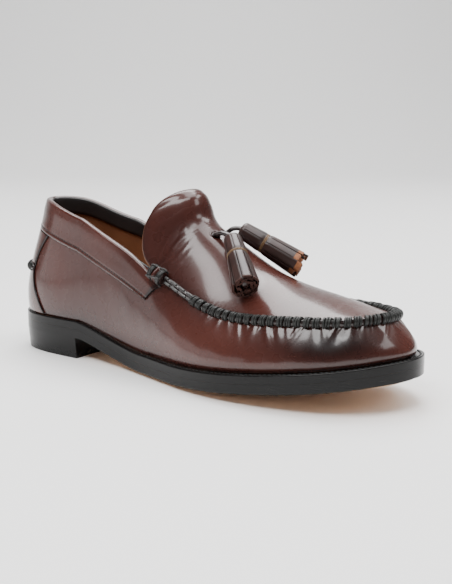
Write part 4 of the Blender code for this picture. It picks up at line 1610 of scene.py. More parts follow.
    @cached_property
    def throat(self) -> tuple[Array, Array, Array, Array]:
        """The apron's and the tongue's outer faces, run smoothly into each other at the throat.

        Within a reach of the throat each line along the shoe is the cubic between the two faces'
        points and directions at that reach; the change fades towards the side edges.

        Returns:
            The tongue's stations, the shares across, and the apron's and the tongue's faces.
        """
        stations = np.linspace(0.006, 1.0, 230)
        even = np.linspace(0, 1, 121)
        across = 0.35 * (1 - np.cos(np.pi * even)) / 2 + 0.65 * even
        rises = self.tongue_start + (self.tongue_end - self.tongue_start) * np.sin(np.pi / 2 * even)
        whole = np.concatenate((LAST.apron(stations, across), LAST.tongue(rises, across)))
        run = run_along(whole[:, len(across) // 2])
        near = run - run[len(stations)]
        first = int(np.searchsorted(near, -self.throat_reach))
        last = int(np.searchsorted(near, self.throat_reach))
        slope_first = (whole[first] - whole[first - 2]) / (run[first] - run[first - 2])
        slope_last = (whole[last + 2] - whole[last]) / (run[last + 2] - run[last])
        span = run[last] - run[first]
        part = ((run[first : last + 1] - run[first]) / span)[:, None, None]
        soft = hermite(part, whole[first], whole[last], slope_first * span, slope_last * span)
        inside = smooth_step(0.0, self.throat_fade, np.minimum(across, 1 - across))[None, :, None]
        whole[first : last + 1] = whole[first : last + 1] * (1 - inside) + soft * inside
        whole = whole + grid_normal(whole) * self.creases(near, across)[..., None]
        return rises, across, whole[: len(stations)], whole[len(stations) :]

    def creases(self, near: Array, across: Array) -> Array:
        """The relief of the throat's creases: a soft trough along each, with a low ridge beside it.

        Each is a bell of the distance from its line, times 1 - (2t - 1)^4 along it, less a third of
        the same bell set off to its upper side.

        Args:
            near: Each row's distance above the throat line.
            across: Each column's share across.

        Returns:
            Heights off the leather, rows by columns.
        """
        rows = near[:, None]
        columns = across[None, :] * self.throat_wide
        relief = np.zeros((len(near), len(across)))
        for ahead, start, ahead_end, end, deep in CREASES:
            step = np.array([ahead_end - ahead, (end - start) * self.throat_wide])
            beyond = np.stack(np.broadcast_arrays(rows - ahead, columns - start * self.throat_wide), axis=-1)
            along = np.clip(beyond @ step / (step @ step), 0, 1)
            away = beyond - along[..., None] * step
            side = np.sign(step[1]) * (away[..., 0] * step[1] - away[..., 1] * step[0]) / np.linalg.norm(step)
            reach = np.linalg.norm(away, axis=-1)
            ridge = bell(side, 2.0 * self.crease_half, self.crease_half) * np.exp(-((reach / 0.004) ** 4))
            trough = bell(reach, 0.0, self.crease_half)
            relief += deep * (1 - (2 * along - 1) ** 4) * (self.crease_ridge * ridge - trough)
        return self.crease_deep * relief

    def slots(self, face: Array) -> Array:
        """How far each point of the apron lies in one of the lace's two slots.

        Args:
            face: The apron's outer face.

        Returns:
            0 to 1 for each point: exp of minus (distance / half)^4.
        """
        found = np.zeros(face.shape[:2])
        for turn in (-1.0, 1.0):
            spot, off = LAST.apron_frame(LAST.slot_station, 0.5 + turn * LAST.slot_spread)
            away = face - spot
            reach = np.linalg.norm(away - np.sum(away * off, axis=-1, keepdims=True) * off, axis=-1)
            found = np.maximum(found, np.exp(-((reach / self.slot_half) ** 4)))
        return found

    def apron(self) -> None:
        """The apron inside the moccasin seam: slow waves, the lace's slots and a stitch-dimpled edge.

        The dimples are a raised cosine along the seam that dies away inwards, and the waves are two
        crossed sines that die away towards the seam.
        """
        face = self.throat[2]
        normal = grid_normal(face)
        normal[0] = unit(normal[1].mean(axis=0))
        edge = np.linalg.norm(face - face[:, :1], axis=2)
        edge = np.minimum(edge, np.linalg.norm(face - face[:, -1:], axis=2))
        run = run_along(face[:, 0])[:, None]
        dimple = 0.5 + 0.5 * np.cos(2 * np.pi * run / self.dimple_pitch)
        dimple = self.dimple_deep * dimple * np.exp(-edge / 0.0022)
        slow = np.sin(62 * face[..., 0] + 40 * face[..., 1])
        slow = slow + 0.6 * np.sin(95 * face[..., 0] - 70 * face[..., 1] + 1.0)
        slow = self.apron_wave * slow * smooth_step(0.0, 0.012, edge)
        slots = self.slots(face)
        outer = face + normal * (slow - dimple - self.slot_deep * slots)[..., None]
        piece = Piece("apron_leather", Part.UPPER, [self.finishes.upper, self.finishes.lining])
        # Painted shade: the apron darkens fully to the burnish colour in the lace's slots, for the shadow in
        # their holes.
        shade = np.clip(0.6 * np.exp(-edge / 0.003) + slots, 0, 1)
        add_sheet(piece, outer, face - normal * LAST.wall, lining=1, shade=shade)
        piece.build()

    def tongue(self) -> None:
        """The tongue: a padded sheet in line with the apron, thinned at its edges and lapped under it.

        Its relief is a fine wrinkle near the throat, a slow wave and a fall towards its edges.
        """
        stations, across, _, face = self.throat
        normal = grid_normal(face)
        normal[-1] = unit(normal[-4].mean(axis=0))
        wrinkle = 0.00006 * np.sin(stations * 150)[:, None] * bell(stations, 0.06, 0.05)[:, None]
        wrinkle = wrinkle * (0.4 + 0.6 * np.sin(7 * across + 2.0) ** 2)[None, :]
        wave = np.sin(9 * stations)[:, None] * np.sin(2 * np.pi * across * 1.4 + 0.6)[None, :]
        edge = 0.5 - np.abs(across - 0.5)
        pillow = -self.tongue_pillow * np.exp(-edge / 0.035)[None, :]
        outer = face + normal * (wrinkle + self.tongue_wave * wave + pillow)[..., None]
        inner = face - normal * (self.tongue_thick + pillow)[..., None]
        lap_across = 0.5 + (across - 0.5) * self.lap_width
        lap = LAST.apron(1 - self.lap_share * np.linspace(1, 0.0, 5), lap_across)
        lap_normal = grid_normal(lap)
        under = LAST.wall + 2 * LAST.gap
        outer = np.concatenate((lap - lap_normal * under, outer))
        inner = np.concatenate((lap - lap_normal * (under + self.lap_thick), inner))
        finishes = [self.finishes.upper, self.finishes.lining]
        piece = Piece("tongue_leather", Part.UPPER, finishes, stands_for=("tongue",))
        add_sheet(piece, outer, inner, lining=1, shade=0.5 * np.exp(-edge / 0.02)[None, :])
        piece.build()

    def band_rows(self, steps: int) -> tuple[Array, Array, Array]:
        """The collar band's places, how far each lies in its slanted ends and its lower wall heights.

        Args:
            steps: How many places.

        Returns:
            Places, shares of the slanted ends and wall heights.
        """
        turns = np.linspace(-self.band_end, self.band_end, steps)
        low = LAST.height_at_drop(turns, self.band_drop)
        end = np.clip((np.abs(turns) - self.band_slant_from) / (self.band_end - self.band_slant_from), 0, 1)
        return turns, end, low

    def band_point(self, rows: tuple[Array, Array, Array], share: Array, off: Array | float) -> Array:
        """Points of the band's outer side, whose ends slant and drop as they run out.

        Args:
            rows: What band_rows gives.
            share: From the band's lower edge (0) to the rim (1).
            off: How far off the wall.

        Returns:
            Rows of points.
        """
        turns, end, low = (values[:, None] for values in rows)
        heights = low + (1 - self.band_end_drop * end**2 - low) * share
        return LAST.on_wall(turns + np.sign(turns) * end * self.band_slant * share, heights, off)

    def band_inner(self, places: Array, high: Array) -> tuple[Array, Array]:
        """The band's turned-in face and the hidden face behind it, against the wall's inside.

        Args:
            places: Places along the rim.
            high: The wall height of the band's top at each.

        Returns:
            Rows of points of each, both from top to bottom and back up.
        """
        drops = np.linspace(0, self.band_inside, 9)[1:]
        heights = np.stack([LAST.height_at_drop(places, drop) for drop in drops], axis=1)
        heights = np.minimum(heights, high[:, None])
        thick = self.band_thick * np.array([1, 1, 1, 1, 1, 1, 0.9, 0.15])
        face = LAST.on_wall(places[:, None], heights, -(LAST.wall + LAST.gap + thick))
        return face, LAST.on_wall(places[:, None], heights[:, ::-2], -(LAST.wall + LAST.gap / 3))

    def collar(self) -> None:
        """The collar band: sewn on outside, turned over the rim and faced with black inside.

        Its outer face has a round lower edge, a bell-shaped stitch groove and a soft pad. It turns
        over the rim in half an ellipse, and its ends are cut square.
        """
        rows = self.band_rows(520)
        turns, end, _ = rows
        share = np.linspace(0, 1, 27)
        deep = share * self.band_drop
        rounding = np.sqrt(np.clip(1 - (1 - np.clip(deep / self.band_thick, 0, 1)) ** 2, 0, 1))
        groove = self.groove_deep * bell(deep, self.groove_drop, 0.0006)
        pad = self.band_pad * bell(deep, self.band_drop * 0.72, 0.005)
        off = LAST.gap + self.band_thick * (0.15 + 0.85 * rounding)
        outer = self.band_point(rows, share, off - groove + pad)
        places = turns + np.sign(turns) * end * self.band_slant
        high = 1 - self.band_end_drop * end**2
        normal = LAST.wall_normal(places, high)[:, None]
        up = unit(LAST.wall_face(places, high) - LAST.wall_face(places, high - 0.02))[:, None]
        radius = (LAST.wall + 2 * LAST.gap + 2 * self.band_thick) / 2
        turn = np.linspace(0, np.pi, 13)[1:]
        over = outer[:, -1:] - normal * radius + radius * circle(turn, normal, 0.75 * up)
        inner, hug_inside = self.band_inner(places, high)
        hug_outside = self.band_point(rows, np.linspace(1, 0, 6), LAST.gap / 3)
        finishes = [self.finishes.upper, self.finishes.binding, self.finishes.edge]
        piece = Piece("collar_leather", Part.UPPER, finishes, stands_for=("collar_band",))
        run = run_along(outer[:, 8])
        # The band's outer face darkens within about 2 mm of its ends: its dyed cut edge, widened with painted
        # shadow.
        cut = np.exp(-((np.minimum(run, run[-1] - run) / 0.0020) ** 4))[:, None]
        shade = np.clip(0.9 * bell(deep, 0.0, 0.0007)[None, :] + cut, 0, 1)
        face = np.concatenate((outer, over[:, :8]), axis=1)
        piece.add(face, shade=np.concatenate((shade, cut.repeat(8, axis=1)), axis=1))
        piece.add(np.concatenate((over[:, 7:], inner), axis=1), finish=1)
        piece.add(np.concatenate((inner[:, -1:], hug_inside, hug_outside, outer[:, :1]), axis=1), finish=1)
        for row in (0, -1):
            outline = np.concatenate((outer[row], over[row], inner[row]))
            back = np.concatenate((hug_outside[row][::-1], hug_inside[row][::-1]))
            pick = np.linspace(0, len(back) - 1, len(outline))
            steps = np.arange(len(back))
            back = np.stack([np.interp(pick, steps, back[:, axis]) for axis in range(3)], axis=1)
            back[[0, -1]] = outline[[0, -1]]
            piece.add(np.stack((outline, back)), finish=2)
        piece.build()

    def back_stay(self) -> None:
        """The stay over the heel's back: a thin sheet whose edges are dyed black."""
        stations = np.linspace(0, 1, 49)
        levels, half_widths = (column(STAY, STAY_COLUMNS, name) for name in STAY_COLUMNS)
        half = open_spline(levels, half_widths, stations)
        shares = np.linspace(-1, 1, 85)
        places = shares[None, :] * half[:, None]
        low = LAST.height_at_rise(np.zeros(1), self.stay_foot)[0]
        high = LAST.height_at_drop(places.ravel(), self.band_drop + LAST.gap).reshape(places.shape)
        heights = low + (high - low) * stations[:, None]
        outer = LAST.on_wall(places, heights, LAST.gap / 3 + self.stay_thick)
        inner = LAST.on_wall(places, heights, LAST.gap / 3)
        edge = (1 - np.abs(shares))[None, :] * half[:, None] * self.row_long
        piece = Piece("back_stay_leather", Part.UPPER, [self.finishes.upper], stands_for=("back_stay",))
        add_sheet(piece, outer, inner, shade=bell(edge, 0.0, self.stay_edge))
        piece.build()

    def build(self) -> None:
        """Make every piece of the upper."""
        self.vamp()
        self.apron()
        self.tongue()
        self.collar()
        self.back_stay()


@dataclass
class Seams:
    """The hand-sewn seams: the moccasin seam, its bound rolls, the heel's whipped ridge and stitch rows."""

    finishes: Finishes
    upper: Upper
    seam_half: float = 0.0022
    seam_proud: float = 0.0024
    seam_short: float = 0.20
    seam_step: float = 0.00045
    seam_dip: float = 0.00055
    whip_pitch: float = 0.0052
    whip_thick: float = 0.00078
    whip_apart: float = 0.00125
    whip_lean: tuple[float, float] = (0.0006, 0.0022)
    whip_wander: float = 0.00035
    whip_stand: tuple[float, float] = (0.00005, 0.00070)
    whip_clear: float = 0.00035
    rope_seed: int = 23
    running_reach: float = 0.030
    running_count: int = 4
    running_thick: float = 0.00085
    running_sink: float = 0.0006
    roll_radius: float = 0.0049
    roll_long: float = 0.0118
    roll_ahead: float = 0.0058
    roll_stand: float = 0.0022
    roll_facet: float = 0.35
    roll_ties: tuple[float, float] = (-0.30, 0.30)
    tie_thick: float = 0.00052
    tie_apart: float = 0.085
    tie_lean: float = 0.03
    roll_thread: float = 0.00048
    ridge_rise: float = 0.0285
    ridge_high: float = 0.0046
    ridge_proud: float = 0.0024
    ridge_pitch: float = 0.0021
    ridge_thread: float = 0.00042
    band_pitch: float = 0.0024
    band_margin: float = 0.002
    band_thread: float = 0.00024
    band_high: float = 0.00032

    def seam_axes(self, places: Array) -> tuple[Array, Array, Array]:
        """The seam's line on the rim and its directions.

        Args:
            places: Places along the seam.

        Returns:
            The points, the direction off both leathers and the direction over the apron.
        """
        points = LAST.rim(places)
        ahead = unit(LAST.rim(places + NEAR) - LAST.rim(places - NEAR))
        wall_off = LAST.wall_normal(places, np.full(len(places), 1 - NEAR))
        stations = np.clip(np.abs(places - LAST.toe_row) / LAST.throat_reach, 0.05, 1.0)
        order = np.argsort(stations)
        face = grid_normal(LAST.apron(stations[order], np.array([0.0, 0.02, 0.98, 1.0])))
        apron_off = np.empty_like(points)
        apron_off[order] = np.where((places <= LAST.toe_row)[order][:, None], face[:, 0], face[:, -1])
        apron_off *= np.where(apron_off[:, 2:] < 0, -1, 1)
        off = unit(wall_off + apron_off)
        return points, off, unit(np.cross(ahead, off))

    def hump(self, axes: tuple[Array, Array, Array], turns: Array, high: Array, swell: float = 0.0) -> Array:
        """Points over the ridge: half an ellipse from the wall's side to the apron's.

        Across goes as cos a and off as sin a to the power 0.8, sunk a little at its feet.

        Args:
            axes: What seam_axes gives.
            turns: Angles over the ridge, 0 at the apron's side and pi at the wall's.
            high: The ridge's height at each point of the seam.
            swell: How far outside the ridge the points lie.

        Returns:
            Points of the seam by turns.
        """
        points, off, beside = axes
        across = np.cos(turns) * (self.seam_half + swell)
        bow = np.sign(np.sin(turns)) * np.abs(np.sin(turns)) ** 0.8
        rise = bow * (high[:, None] + swell) + LAST.gap - 0.0006 * (1 - np.sin(turns))
        return points[:, None] + across[..., None] * beside[:, None] + rise[..., None] * off[:, None]

    def moccasin_seam(self) -> None:
        """The raised seam: two leather edges stood together and whipped over with black thread.

        The ridge is beaded by a raised cosine a stitch group long, and a fine dip along its top
        parts the two edges.
        """
        reach = LAST.throat_reach - self.seam_short
        fine = np.linspace(LAST.toe_row - reach, LAST.toe_row + reach, 1500)
        run = run_along(LAST.rim(fine))
        along = np.linspace(0, run[-1], int(run[-1] / self.seam_step))
        axes = self.seam_axes(np.interp(along, run, fine))
        points, off, _ = axes
        from_end = np.minimum(along, run[-1] - along)
        whipped = smooth_step(self.running_reach - 0.004, self.running_reach, from_end)
        bead = 0.5 + 0.5 * np.cos(2 * np.pi * along / self.whip_pitch)
        high = self.seam_proud * (0.74 + 0.26 * (1 - whipped) + 0.22 * bead * whipped)
        turns = np.linspace(0, np.pi, 17)[None, :]
        crest = self.hump(axes, turns, high)
        crest = crest - off[:, None] * (self.seam_dip * bell(turns, np.pi * 0.46, 0.16))[..., None]
        base = points + off * (LAST.gap - 0.0010)
        piece = Piece("moccasin_ridge", Part.THREAD, [self.finishes.upper], stands_for=("moc_seam",))
        # Painted shade: the ridge's leather is darkened nearly to the burnish colour, for the dark gaps
        # between the stitches.
        piece.add(np.concatenate((crest, base[:, None]), axis=1), wrap_columns=True, shade=0.9)
        piece.add_fans(crest, base, shade=0.9)
        piece.build()
        self.whip_stitches(run, fine)
        self.running_stitches(run, fine)

    def whip_stitches(self, run: Array, fine: Array) -> None:
        """The tight black stitches over the ridge, three to a group, each a half turn that leans.

        Args:
            run: The distance along the seam at each fine place.
            fine: Fine places along the seam.
        """
        first = self.running_reach - 0.002
        groups = int((run[-1] - 2 * first) / self.whip_pitch)
        middles = first + (np.arange(groups) + 0.5) * self.whip_pitch
        middles = (middles[:, None] + self.whip_apart * np.array([-1.0, 0.0, 1.0])).ravel()
        count = len(middles)
        turns = np.linspace(-0.15, np.pi + 0.30, 13)
        random = np.random.default_rng(self.rope_seed + 1)
        lean = (turns / np.pi - 0.5)[None, :] * random.uniform(*self.whip_lean, count)[:, None]
        wander = random.uniform(-self.whip_wander, self.whip_wander, count)
        spots = middles[:, None] + lean + wander[:, None]
        axes = self.seam_axes(np.interp(spots.ravel(), run, fine))
        random = np.random.default_rng(self.rope_seed)
        stand_off = np.repeat(random.uniform(*self.whip_stand, count), len(turns))
        high = self.seam_proud * 0.90 + stand_off
        over = self.hump(axes, np.tile(turns, count)[:, None], high, swell=self.whip_clear)[:, 0]
        paths = over.reshape(count, len(turns), 3)
        radial = unit(paths - axes[0].reshape(paths.shape))
        piece = Piece("moccasin_stitching", Part.THREAD, [self.finishes.thread])
        piece.add_tubes(thread_tubes(paths, radial, self.whip_thick))
        piece.build()

    def running_stitches(self, run: Array, fine: Array) -> None:
        """The long grey stitches laid along both sides of the ridge next to each bound roll.

        Args:
            run: The distance along the seam at each fine place.
            fine: Fine places along the seam.
        """
        pitch = self.running_reach / (self.running_count + 0.2)
        share = np.linspace(0.10, 0.90, 9)
        sink = self.running_sink * (np.abs(2 * (share - 0.5) / 0.88) ** 6)[None, :, None]
        piece = Piece("throat_stitching", Part.THREAD, [self.finishes.grey_thread_and_highlight])
        for end in (0, 1):
            for turn, lag in ((2.25, 0.0), (1.05, 0.5)):
                spots = (np.arange(self.running_count)[:, None] + 0.1 + lag + share[None, :]) * pitch
                spots = spots if end == 0 else run[-1] - spots
                turns = np.full((spots.size, 1), turn if end == 0 else np.pi - turn)
                places = np.interp(spots.ravel(), run, fine)
                order = np.argsort(places)
                axes = self.seam_axes(places[order])
                line = self.hump(axes, turns, np.full(spots.size, self.seam_proud), swell=0.0002)[:, 0]
                back = np.argsort(order)
                paths = line[back].reshape(self.running_count, len(share), 3)
                radial = unit(line[back] - axes[0][back]).reshape(paths.shape)
                piece.add_tubes(thread_tubes(paths - radial * sink, radial, self.running_thick))
        piece.build()

    def roll_frame(self, place: float) -> tuple[Array, Array, Array, Array]:
        """Where a bound roll stands on the rim, moved ahead along the seam from the seam's end.

        Args:
            place: The seam's end, as a place round the shoe.

        Returns:
            Its centre and the directions ahead, away from the shoe and up.
        """
        near = LAST.rim(np.array([place - NEAR, place + NEAR]))
        speed = np.linalg.norm(near[1] - near[0]) / (2 * NEAR)
        place = place + np.sign(LAST.toe_row - place) * self.roll_ahead / speed
        points, off, _ = self.seam_axes(place + np.array([-NEAR, 0.0, NEAR]))
        ahead = unit(points[2] - points[0])
        away = LAST.wall_normal(np.array([place]), np.array([1 - NEAR]))[0]
        away = unit(away - ahead * (away @ ahead))
        up = np.cross(away, ahead)
        return points[1] + off[1] * self.roll_stand, ahead, away, up * np.sign(up[2])

    def bound_roll(self, name: str, node: str, place: float) -> None:
        """The bound roll at the end of the seam: three swells of leather tied with waxed thread.

        The roll's radius swells as bells at its middle and ends, and its section is squared a little
        by a cosine of four times the angle. Each tie is three turns of thread round it.

        Args:
            name: The piece's name.
            node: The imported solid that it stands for.
            place: The seam's end.
        """
        centre, ahead, away, up = self.roll_frame(place)
        share = np.linspace(-0.5, 0.5, 61)
        swell = bell(share, 0.0, 0.13) + 0.75 * bell(np.abs(share), 0.42, 0.10)
        radius = self.roll_radius * (0.68 + 0.34 * swell) * np.sqrt(np.clip(1 - (2 * share) ** 8 * 0.8, 0, 1))
        turns = np.linspace(0, 2 * np.pi, 36, endpoint=False)
        square = 1 - 0.07 * np.cos(4 * (turns - self.roll_facet))
        middle = centre + ahead * (share * self.roll_long)[:, None]
        body = middle[:, None] + (radius[:, None] * square)[..., None] * circle(turns, away, up)
        poles = np.repeat(middle[[0, -1], None], len(turns), 1)
        body = np.concatenate((poles[:1], body, poles[1:]))
        # Painted shade: the roll's leather darkens towards its ends and stays light only at its middle facet.
        shade = np.concatenate(([1.0], 0.8 - 0.8 * bell(share, 0.0, 0.16), [1.0]))[:, None]
        finishes = [self.finishes.upper, self.finishes.thread, self.finishes.grey_thread_and_highlight]
        piece = Piece(name, Part.THREAD, finishes, stands_for=(node,))
        piece.add(body, wrap_columns=True, shade=shade)
        # Painted highlight: the middle turn of each tie and the four crossing cords wear the grey thread
        # (finish 2).
        angles = np.linspace(0, 2 * np.pi, 33)
        for spot in self.roll_ties:
            for turn, finish in ((-self.tie_apart, 1), (0.0, 2), (self.tie_apart, 1)):
                here = (spot + turn + self.tie_lean * np.cos(angles)) * self.roll_long
                loop = centre + ahead * here[:, None] + self.roll_radius * 0.90 * circle(angles, away, up)
                piece.add(tube_grid(loop, self.tie_thick, 8), wrap_columns=True, finish=finish)
        along = np.linspace(-0.40, 0.40, 17)
        lift = self.roll_radius * (1.02 + 0.10 * bell(np.abs(along), 0.27, 0.12))
        for side in self.roll_facet + np.pi * np.array([0.25, 0.75, 1.25, 1.75]):
            loop = centre + ahead * (along * self.roll_long)[:, None]
            loop = loop + lift[:, None] * circle(side + 0.7 * along, away, up)
            piece.add(tube_grid(loop, self.roll_thread, 8), wrap_columns=True, finish=2)
        piece.build()

    def heel_ridge(self) -> None:
        """The whipped seam across the back stay: a low half ellipse bound by upright threads."""
        half = column(STAY, STAY_COLUMNS, "half_width").min()
        places = np.linspace(-half, half, 91)
        turn = np.linspace(0, np.pi, 15)
        base = LAST.gap / 2 + self.upper.stay_thick
        low, middle, high = (
            LAST.height_at_rise(places, self.ridge_rise + side * self.ridge_high / 2) for side in (-1, 0, 1)
        )
        scale = high - low
        end = np.sqrt(np.clip(1 - (places / half) ** 8, 0.02, 1))
        heights = middle[:, None] - np.cos(turn)[None, :] * (scale * end)[:, None] / 2
        off = base + self.ridge_proud * 0.86 * np.sin(turn)[None, :] * end[:, None]
        crest = LAST.on_wall(places[:, None], heights, off)
        floor = LAST.on_wall(places, middle, base - 0.0003)
        finishes = [self.finishes.lace, self.finishes.thread]
        piece = Piece("heel_ridge", Part.THREAD, finishes, stands_for=("heel_seam",))
        piece.add(np.concatenate((crest, floor[:, None]), axis=1), wrap_columns=True)
        piece.add_fans(crest, floor)
        run = run_along(crest[:, 7])
        count = int(run[-1] / self.ridge_pitch)
        spots = np.interp((np.arange(count) + 0.5) / count * run[-1], run, places)
        turns = np.linspace(-0.05, np.pi + 0.05, 9)
        here = spots[:, None] + (turns / np.pi - 0.5) * 0.035
        rise = np.interp(here, places, middle) - np.cos(turns) * np.interp(here, places, scale) / 2
        proud = base + self.ridge_proud * np.sin(np.clip(turns, 0, np.pi)) * 0.92 + 0.0001
        paths = LAST.on_wall(here, rise, proud)
        radial = unit(paths - LAST.on_wall(spots, np.interp(spots, places, middle), 0.0)[:, None])
        piece.add_tubes(thread_tubes(paths, radial, self.ridge_thread), finish=1)
        piece.build()

    def band_stitches(self) -> None:
        """The row of small stitches along the collar band's lower edge and its slanted ends."""
        upper = self.upper
        rows = upper.band_rows(900)
        share = np.array([upper.groove_drop / upper.band_drop])
        line = upper.band_point(rows, share, LAST.gap + upper.band_thick - upper.groove_deep)[:, 0]
        normal = LAST.wall_normal(rows[0], rows[2])
        run = run_along(line)
        count = int((run[-1] - 2 * self.band_margin) / self.band_pitch)
        start = self.band_margin + np.arange(count) * self.band_pitch
        first, last, off = (
            np.stack([np.interp(spots, run, values[:, axis]) for axis in range(3)], axis=1)
            for values, spots in ((line, start), (line, start + self.band_pitch * 0.72), (normal, start))
        )
        piece = Piece("collar_stitching", Part.THREAD, [self.finishes.thread])
        piece.add_tubes(arched_stitches(first, last, unit(off), self.band_thread, self.band_high))
        piece.build()

    def build(self) -> None:
        """Make every seam."""
        self.moccasin_seam()
        self.bound_roll("bound_roll_outer", "beefroll_outer", LAST.toe_row - LAST.throat_reach)
        self.bound_roll("bound_roll_inner", "beefroll_inner", LAST.toe_row + LAST.throat_reach)
        self.heel_ridge()
        self.band_stitches()


@dataclass(frozen=True)
class TasselPlace:
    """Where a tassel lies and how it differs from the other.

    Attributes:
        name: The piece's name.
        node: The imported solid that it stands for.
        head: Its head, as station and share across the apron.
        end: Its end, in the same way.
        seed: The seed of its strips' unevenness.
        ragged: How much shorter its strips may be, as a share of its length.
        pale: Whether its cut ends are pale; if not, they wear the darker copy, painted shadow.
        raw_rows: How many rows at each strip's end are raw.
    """

    name: str
    node: str
    head: tuple[float, float]
    end: tuple[float, float]
    seed: int
    ragged: float
    pale: bool
    raw_rows: int


@dataclass
class Tassels:
    """The two tassels, each a rolled fringe tied by a cord, and the lace that carries them."""

    finishes: Finishes
    places: tuple[TasselPlace, ...] = (
        TasselPlace("fringe_outer", "tassel_outer", (0.875, 0.42), (0.625, 0.13), 3, 0.035, False, 1),
        TasselPlace("fringe_inner", "tassel_inner", (0.915, 0.60), (0.672, 0.79), 5, 0.085, True, 3),
    )
    long: float = 0.0430
    head_radius: float = 0.0052
    end_radius: float = 0.0080
    head_clear: float = 0.0014
    end_clear: float = 0.0008
    layers: tuple[tuple[int, float, float], ...] = (
        (8, 0.0, 0.0013),
        (8, 0.0018, 0.0032),
        (5, 0.0038, 0.0052),
    )
    wander: tuple[float, float, float] = (0.07, 0.0006, 0.00035)
    strip_round: float = 0.00045
    strip_flat: float = 0.85
    tie_share: float = 0.39
    tie_apart: float = 0.010
    tie_thick: float = 0.00036
    core_long: float = 0.90
    core_share: float = 0.45
    lid_long: float = 0.07
    lid_share: float = 0.985
    lace_radius: float = 0.0017
    lace_wide: float = 1.25
    lace_flat: float = 0.65
    slot_deep: float = 0.0004

    def profile(self, share: Array) -> Array:
        """The roll's radius along it: s^0.9 from head to end, pinched at the tie and domed at its head.

        Args:
            share: Shares of the tassel's length.

        Returns:
            A radius for each.
        """
        grow = self.head_radius + (self.end_radius - self.head_radius) * share**0.9
        pinch = 1 - 0.10 * bell(share, self.tie_share, 0.030)
        dome = np.sqrt(np.clip(1 - (1 - np.clip(share / 0.06, 0, 1)) ** 2, 0, 1))
        return grow * pinch * (0.30 + 0.70 * dome)

    def axes(self, place: TasselPlace) -> tuple[Array, Array, Array, Array]:
        """How a tassel lies, clear of the apron from its head to its end.

        Args:
            place: Which tassel.

        Returns:
            Its head and its directions along, beside and above.
        """
        head_point, head_off = LAST.apron_frame(*place.head)
        end_point, end_off = LAST.apron_frame(*place.end)
        head = head_point + head_off * (self.head_radius + self.head_clear)
        end = end_point + end_off * (self.end_radius + self.end_clear)
        ahead = unit(end - head)
        side = unit(np.cross(ahead, (0.0, 0.0, 1.0)))
        return head, ahead, side, np.cross(side, ahead)

    def strip(
        self,
        place: TasselPlace,
        turn: tuple[float, float],
        depth: tuple[float, float],
        long: float,
        wander: Array,
    ) -> list[Array]:
        """A strip's outer and inner face: an arc of the roll, carried from the head to its end.

        Across, the arc is flattened towards its chord, its edges are rounded as p^6 and one side
        curls up. Below the tie it drifts round the roll, lifts and narrows.

        Args:
            place: The tassel that it belongs to.
            turn: Its middle's angle round the roll and the angle that it spans.
            depth: How deep its two faces lie under the roll's radius.
            long: Its length as a share of the tassel's.
            wander: How its angle, its lift and its curl change towards its end.

        Returns:
            Its two faces.
        """
        head, ahead, side, up = self.axes(place)
        angle, wide = turn
        share = np.linspace(0, long, 40)
        free = smooth_step(self.tie_share, 1.0, share)[:, None]
        loose = smooth_step(self.tie_share - 0.04, self.tie_share + 0.15, share)[:, None]
        gap = 1 - 0.07 * smooth_step(self.tie_share - 0.02, self.tie_share + 0.10, share)[:, None]
        part = np.linspace(-0.5, 0.5, 9)[None, :]
        angles = angle + wander[0] * free + part * wide * gap
        radius = self.profile(share)[:, None] + wander[1] * free
        flat = np.cos(wide / 2) / np.cos(part * wide) - np.cos(wide / 2) - 0.04
        curl = self.strip_flat * radius * flat - self.strip_round * np.abs(2 * part) ** 6
        lift = radius + curl + wander[2] * part * loose
        middle = (head + ahead * (share * self.long)[:, None])[:, None]
        ring = circle(angles, side, up)
        return [middle + np.maximum(lift - deep, 0.0002)[..., None] * ring for deep in depth]

    def add_strip(self, piece: Piece, outer: Array, inner: Array, raw_rows: int) -> None:
        """Add a strip: its faces in the tassel's leather, with raw edges, tip and cut end.

        Args:
            piece: The piece that it joins.
            outer: Its outer face.
            inner: Its inner face.
            raw_rows: How many rows at its end are raw.
        """
        shade = 0.5 * np.abs(np.linspace(-1, 1, outer.shape[1]))[None, :] ** 6
        piece.add(outer[:-raw_rows], shade=shade)
        piece.add(inner[:-raw_rows])
        piece.add(outer[-raw_rows - 1 :], finish=1)
        piece.add(inner[-raw_rows - 1 :], finish=1)
        for edge in (0, -1):
            piece.add(np.stack((outer[:, edge], inner[:, edge]), axis=1), shade=0.4)
        piece.add(np.stack((outer[-1], inner[-1])), finish=1)
        piece.add(np.stack((outer[0], inner[0])))

    def fringe(self, place: TasselPlace) -> None:
        """A tassel: outer strips, two inner layers of strips, a core, a lid and two turns of tie.

        Args:
            place: Which tassel.
        """
        random = np.random.default_rng(place.seed)
        # Cut ends that are not pale wear the darker copy: painted shadow.
        raw = self.finishes.raw if place.pale else self.finishes.raw_shadowed
        finishes = [self.finishes.tassel, raw, self.finishes.brown_thread]
        piece = Piece(place.name, Part.TASSEL, finishes, stands_for=(place.node,))
        for count, outer_deep, inner_deep in self.layers:
            for index in range(count):
                angle = 2 * np.pi * (index + 0.5 * (outer_deep > 0)) / count + random.uniform(-0.03, 0.03)
                wander = random.uniform(-1, 1, 3) * self.wander
                long = 1.0 - place.ragged * random.uniform(0.0, 1.0)
                turn = (angle, 2 * np.pi / count)
                outer, inner = self.strip(place, turn, (outer_deep, inner_deep), long, wander)
                self.add_strip(piece, outer, inner, place.raw_rows)
        head, ahead, side, up = self.axes(place)
        for long, part, steps, sides in (
            (self.core_long, self.core_share, 30, 16),
            (self.lid_long, self.lid_share, 8, 28),
        ):
            share = np.linspace(0.0, long, steps)
            path = head + ahead * (share * self.long)[:, None]
            piece.add(tube_grid(path, self.profile(share) * part, sides), wrap_columns=True)
        ring = circle(np.linspace(0, 2 * np.pi, 49), side, up)
        reach = self.profile(np.array([self.tie_share])) + 0.0001
        for turn in (-self.tie_apart, self.tie_apart):
            loop = head + ahead * (self.tie_share + turn) * self.long + reach * ring
            piece.add(tube_grid(loop, self.tie_thick, 8), wrap_columns=True, finish=2)
        piece.build()

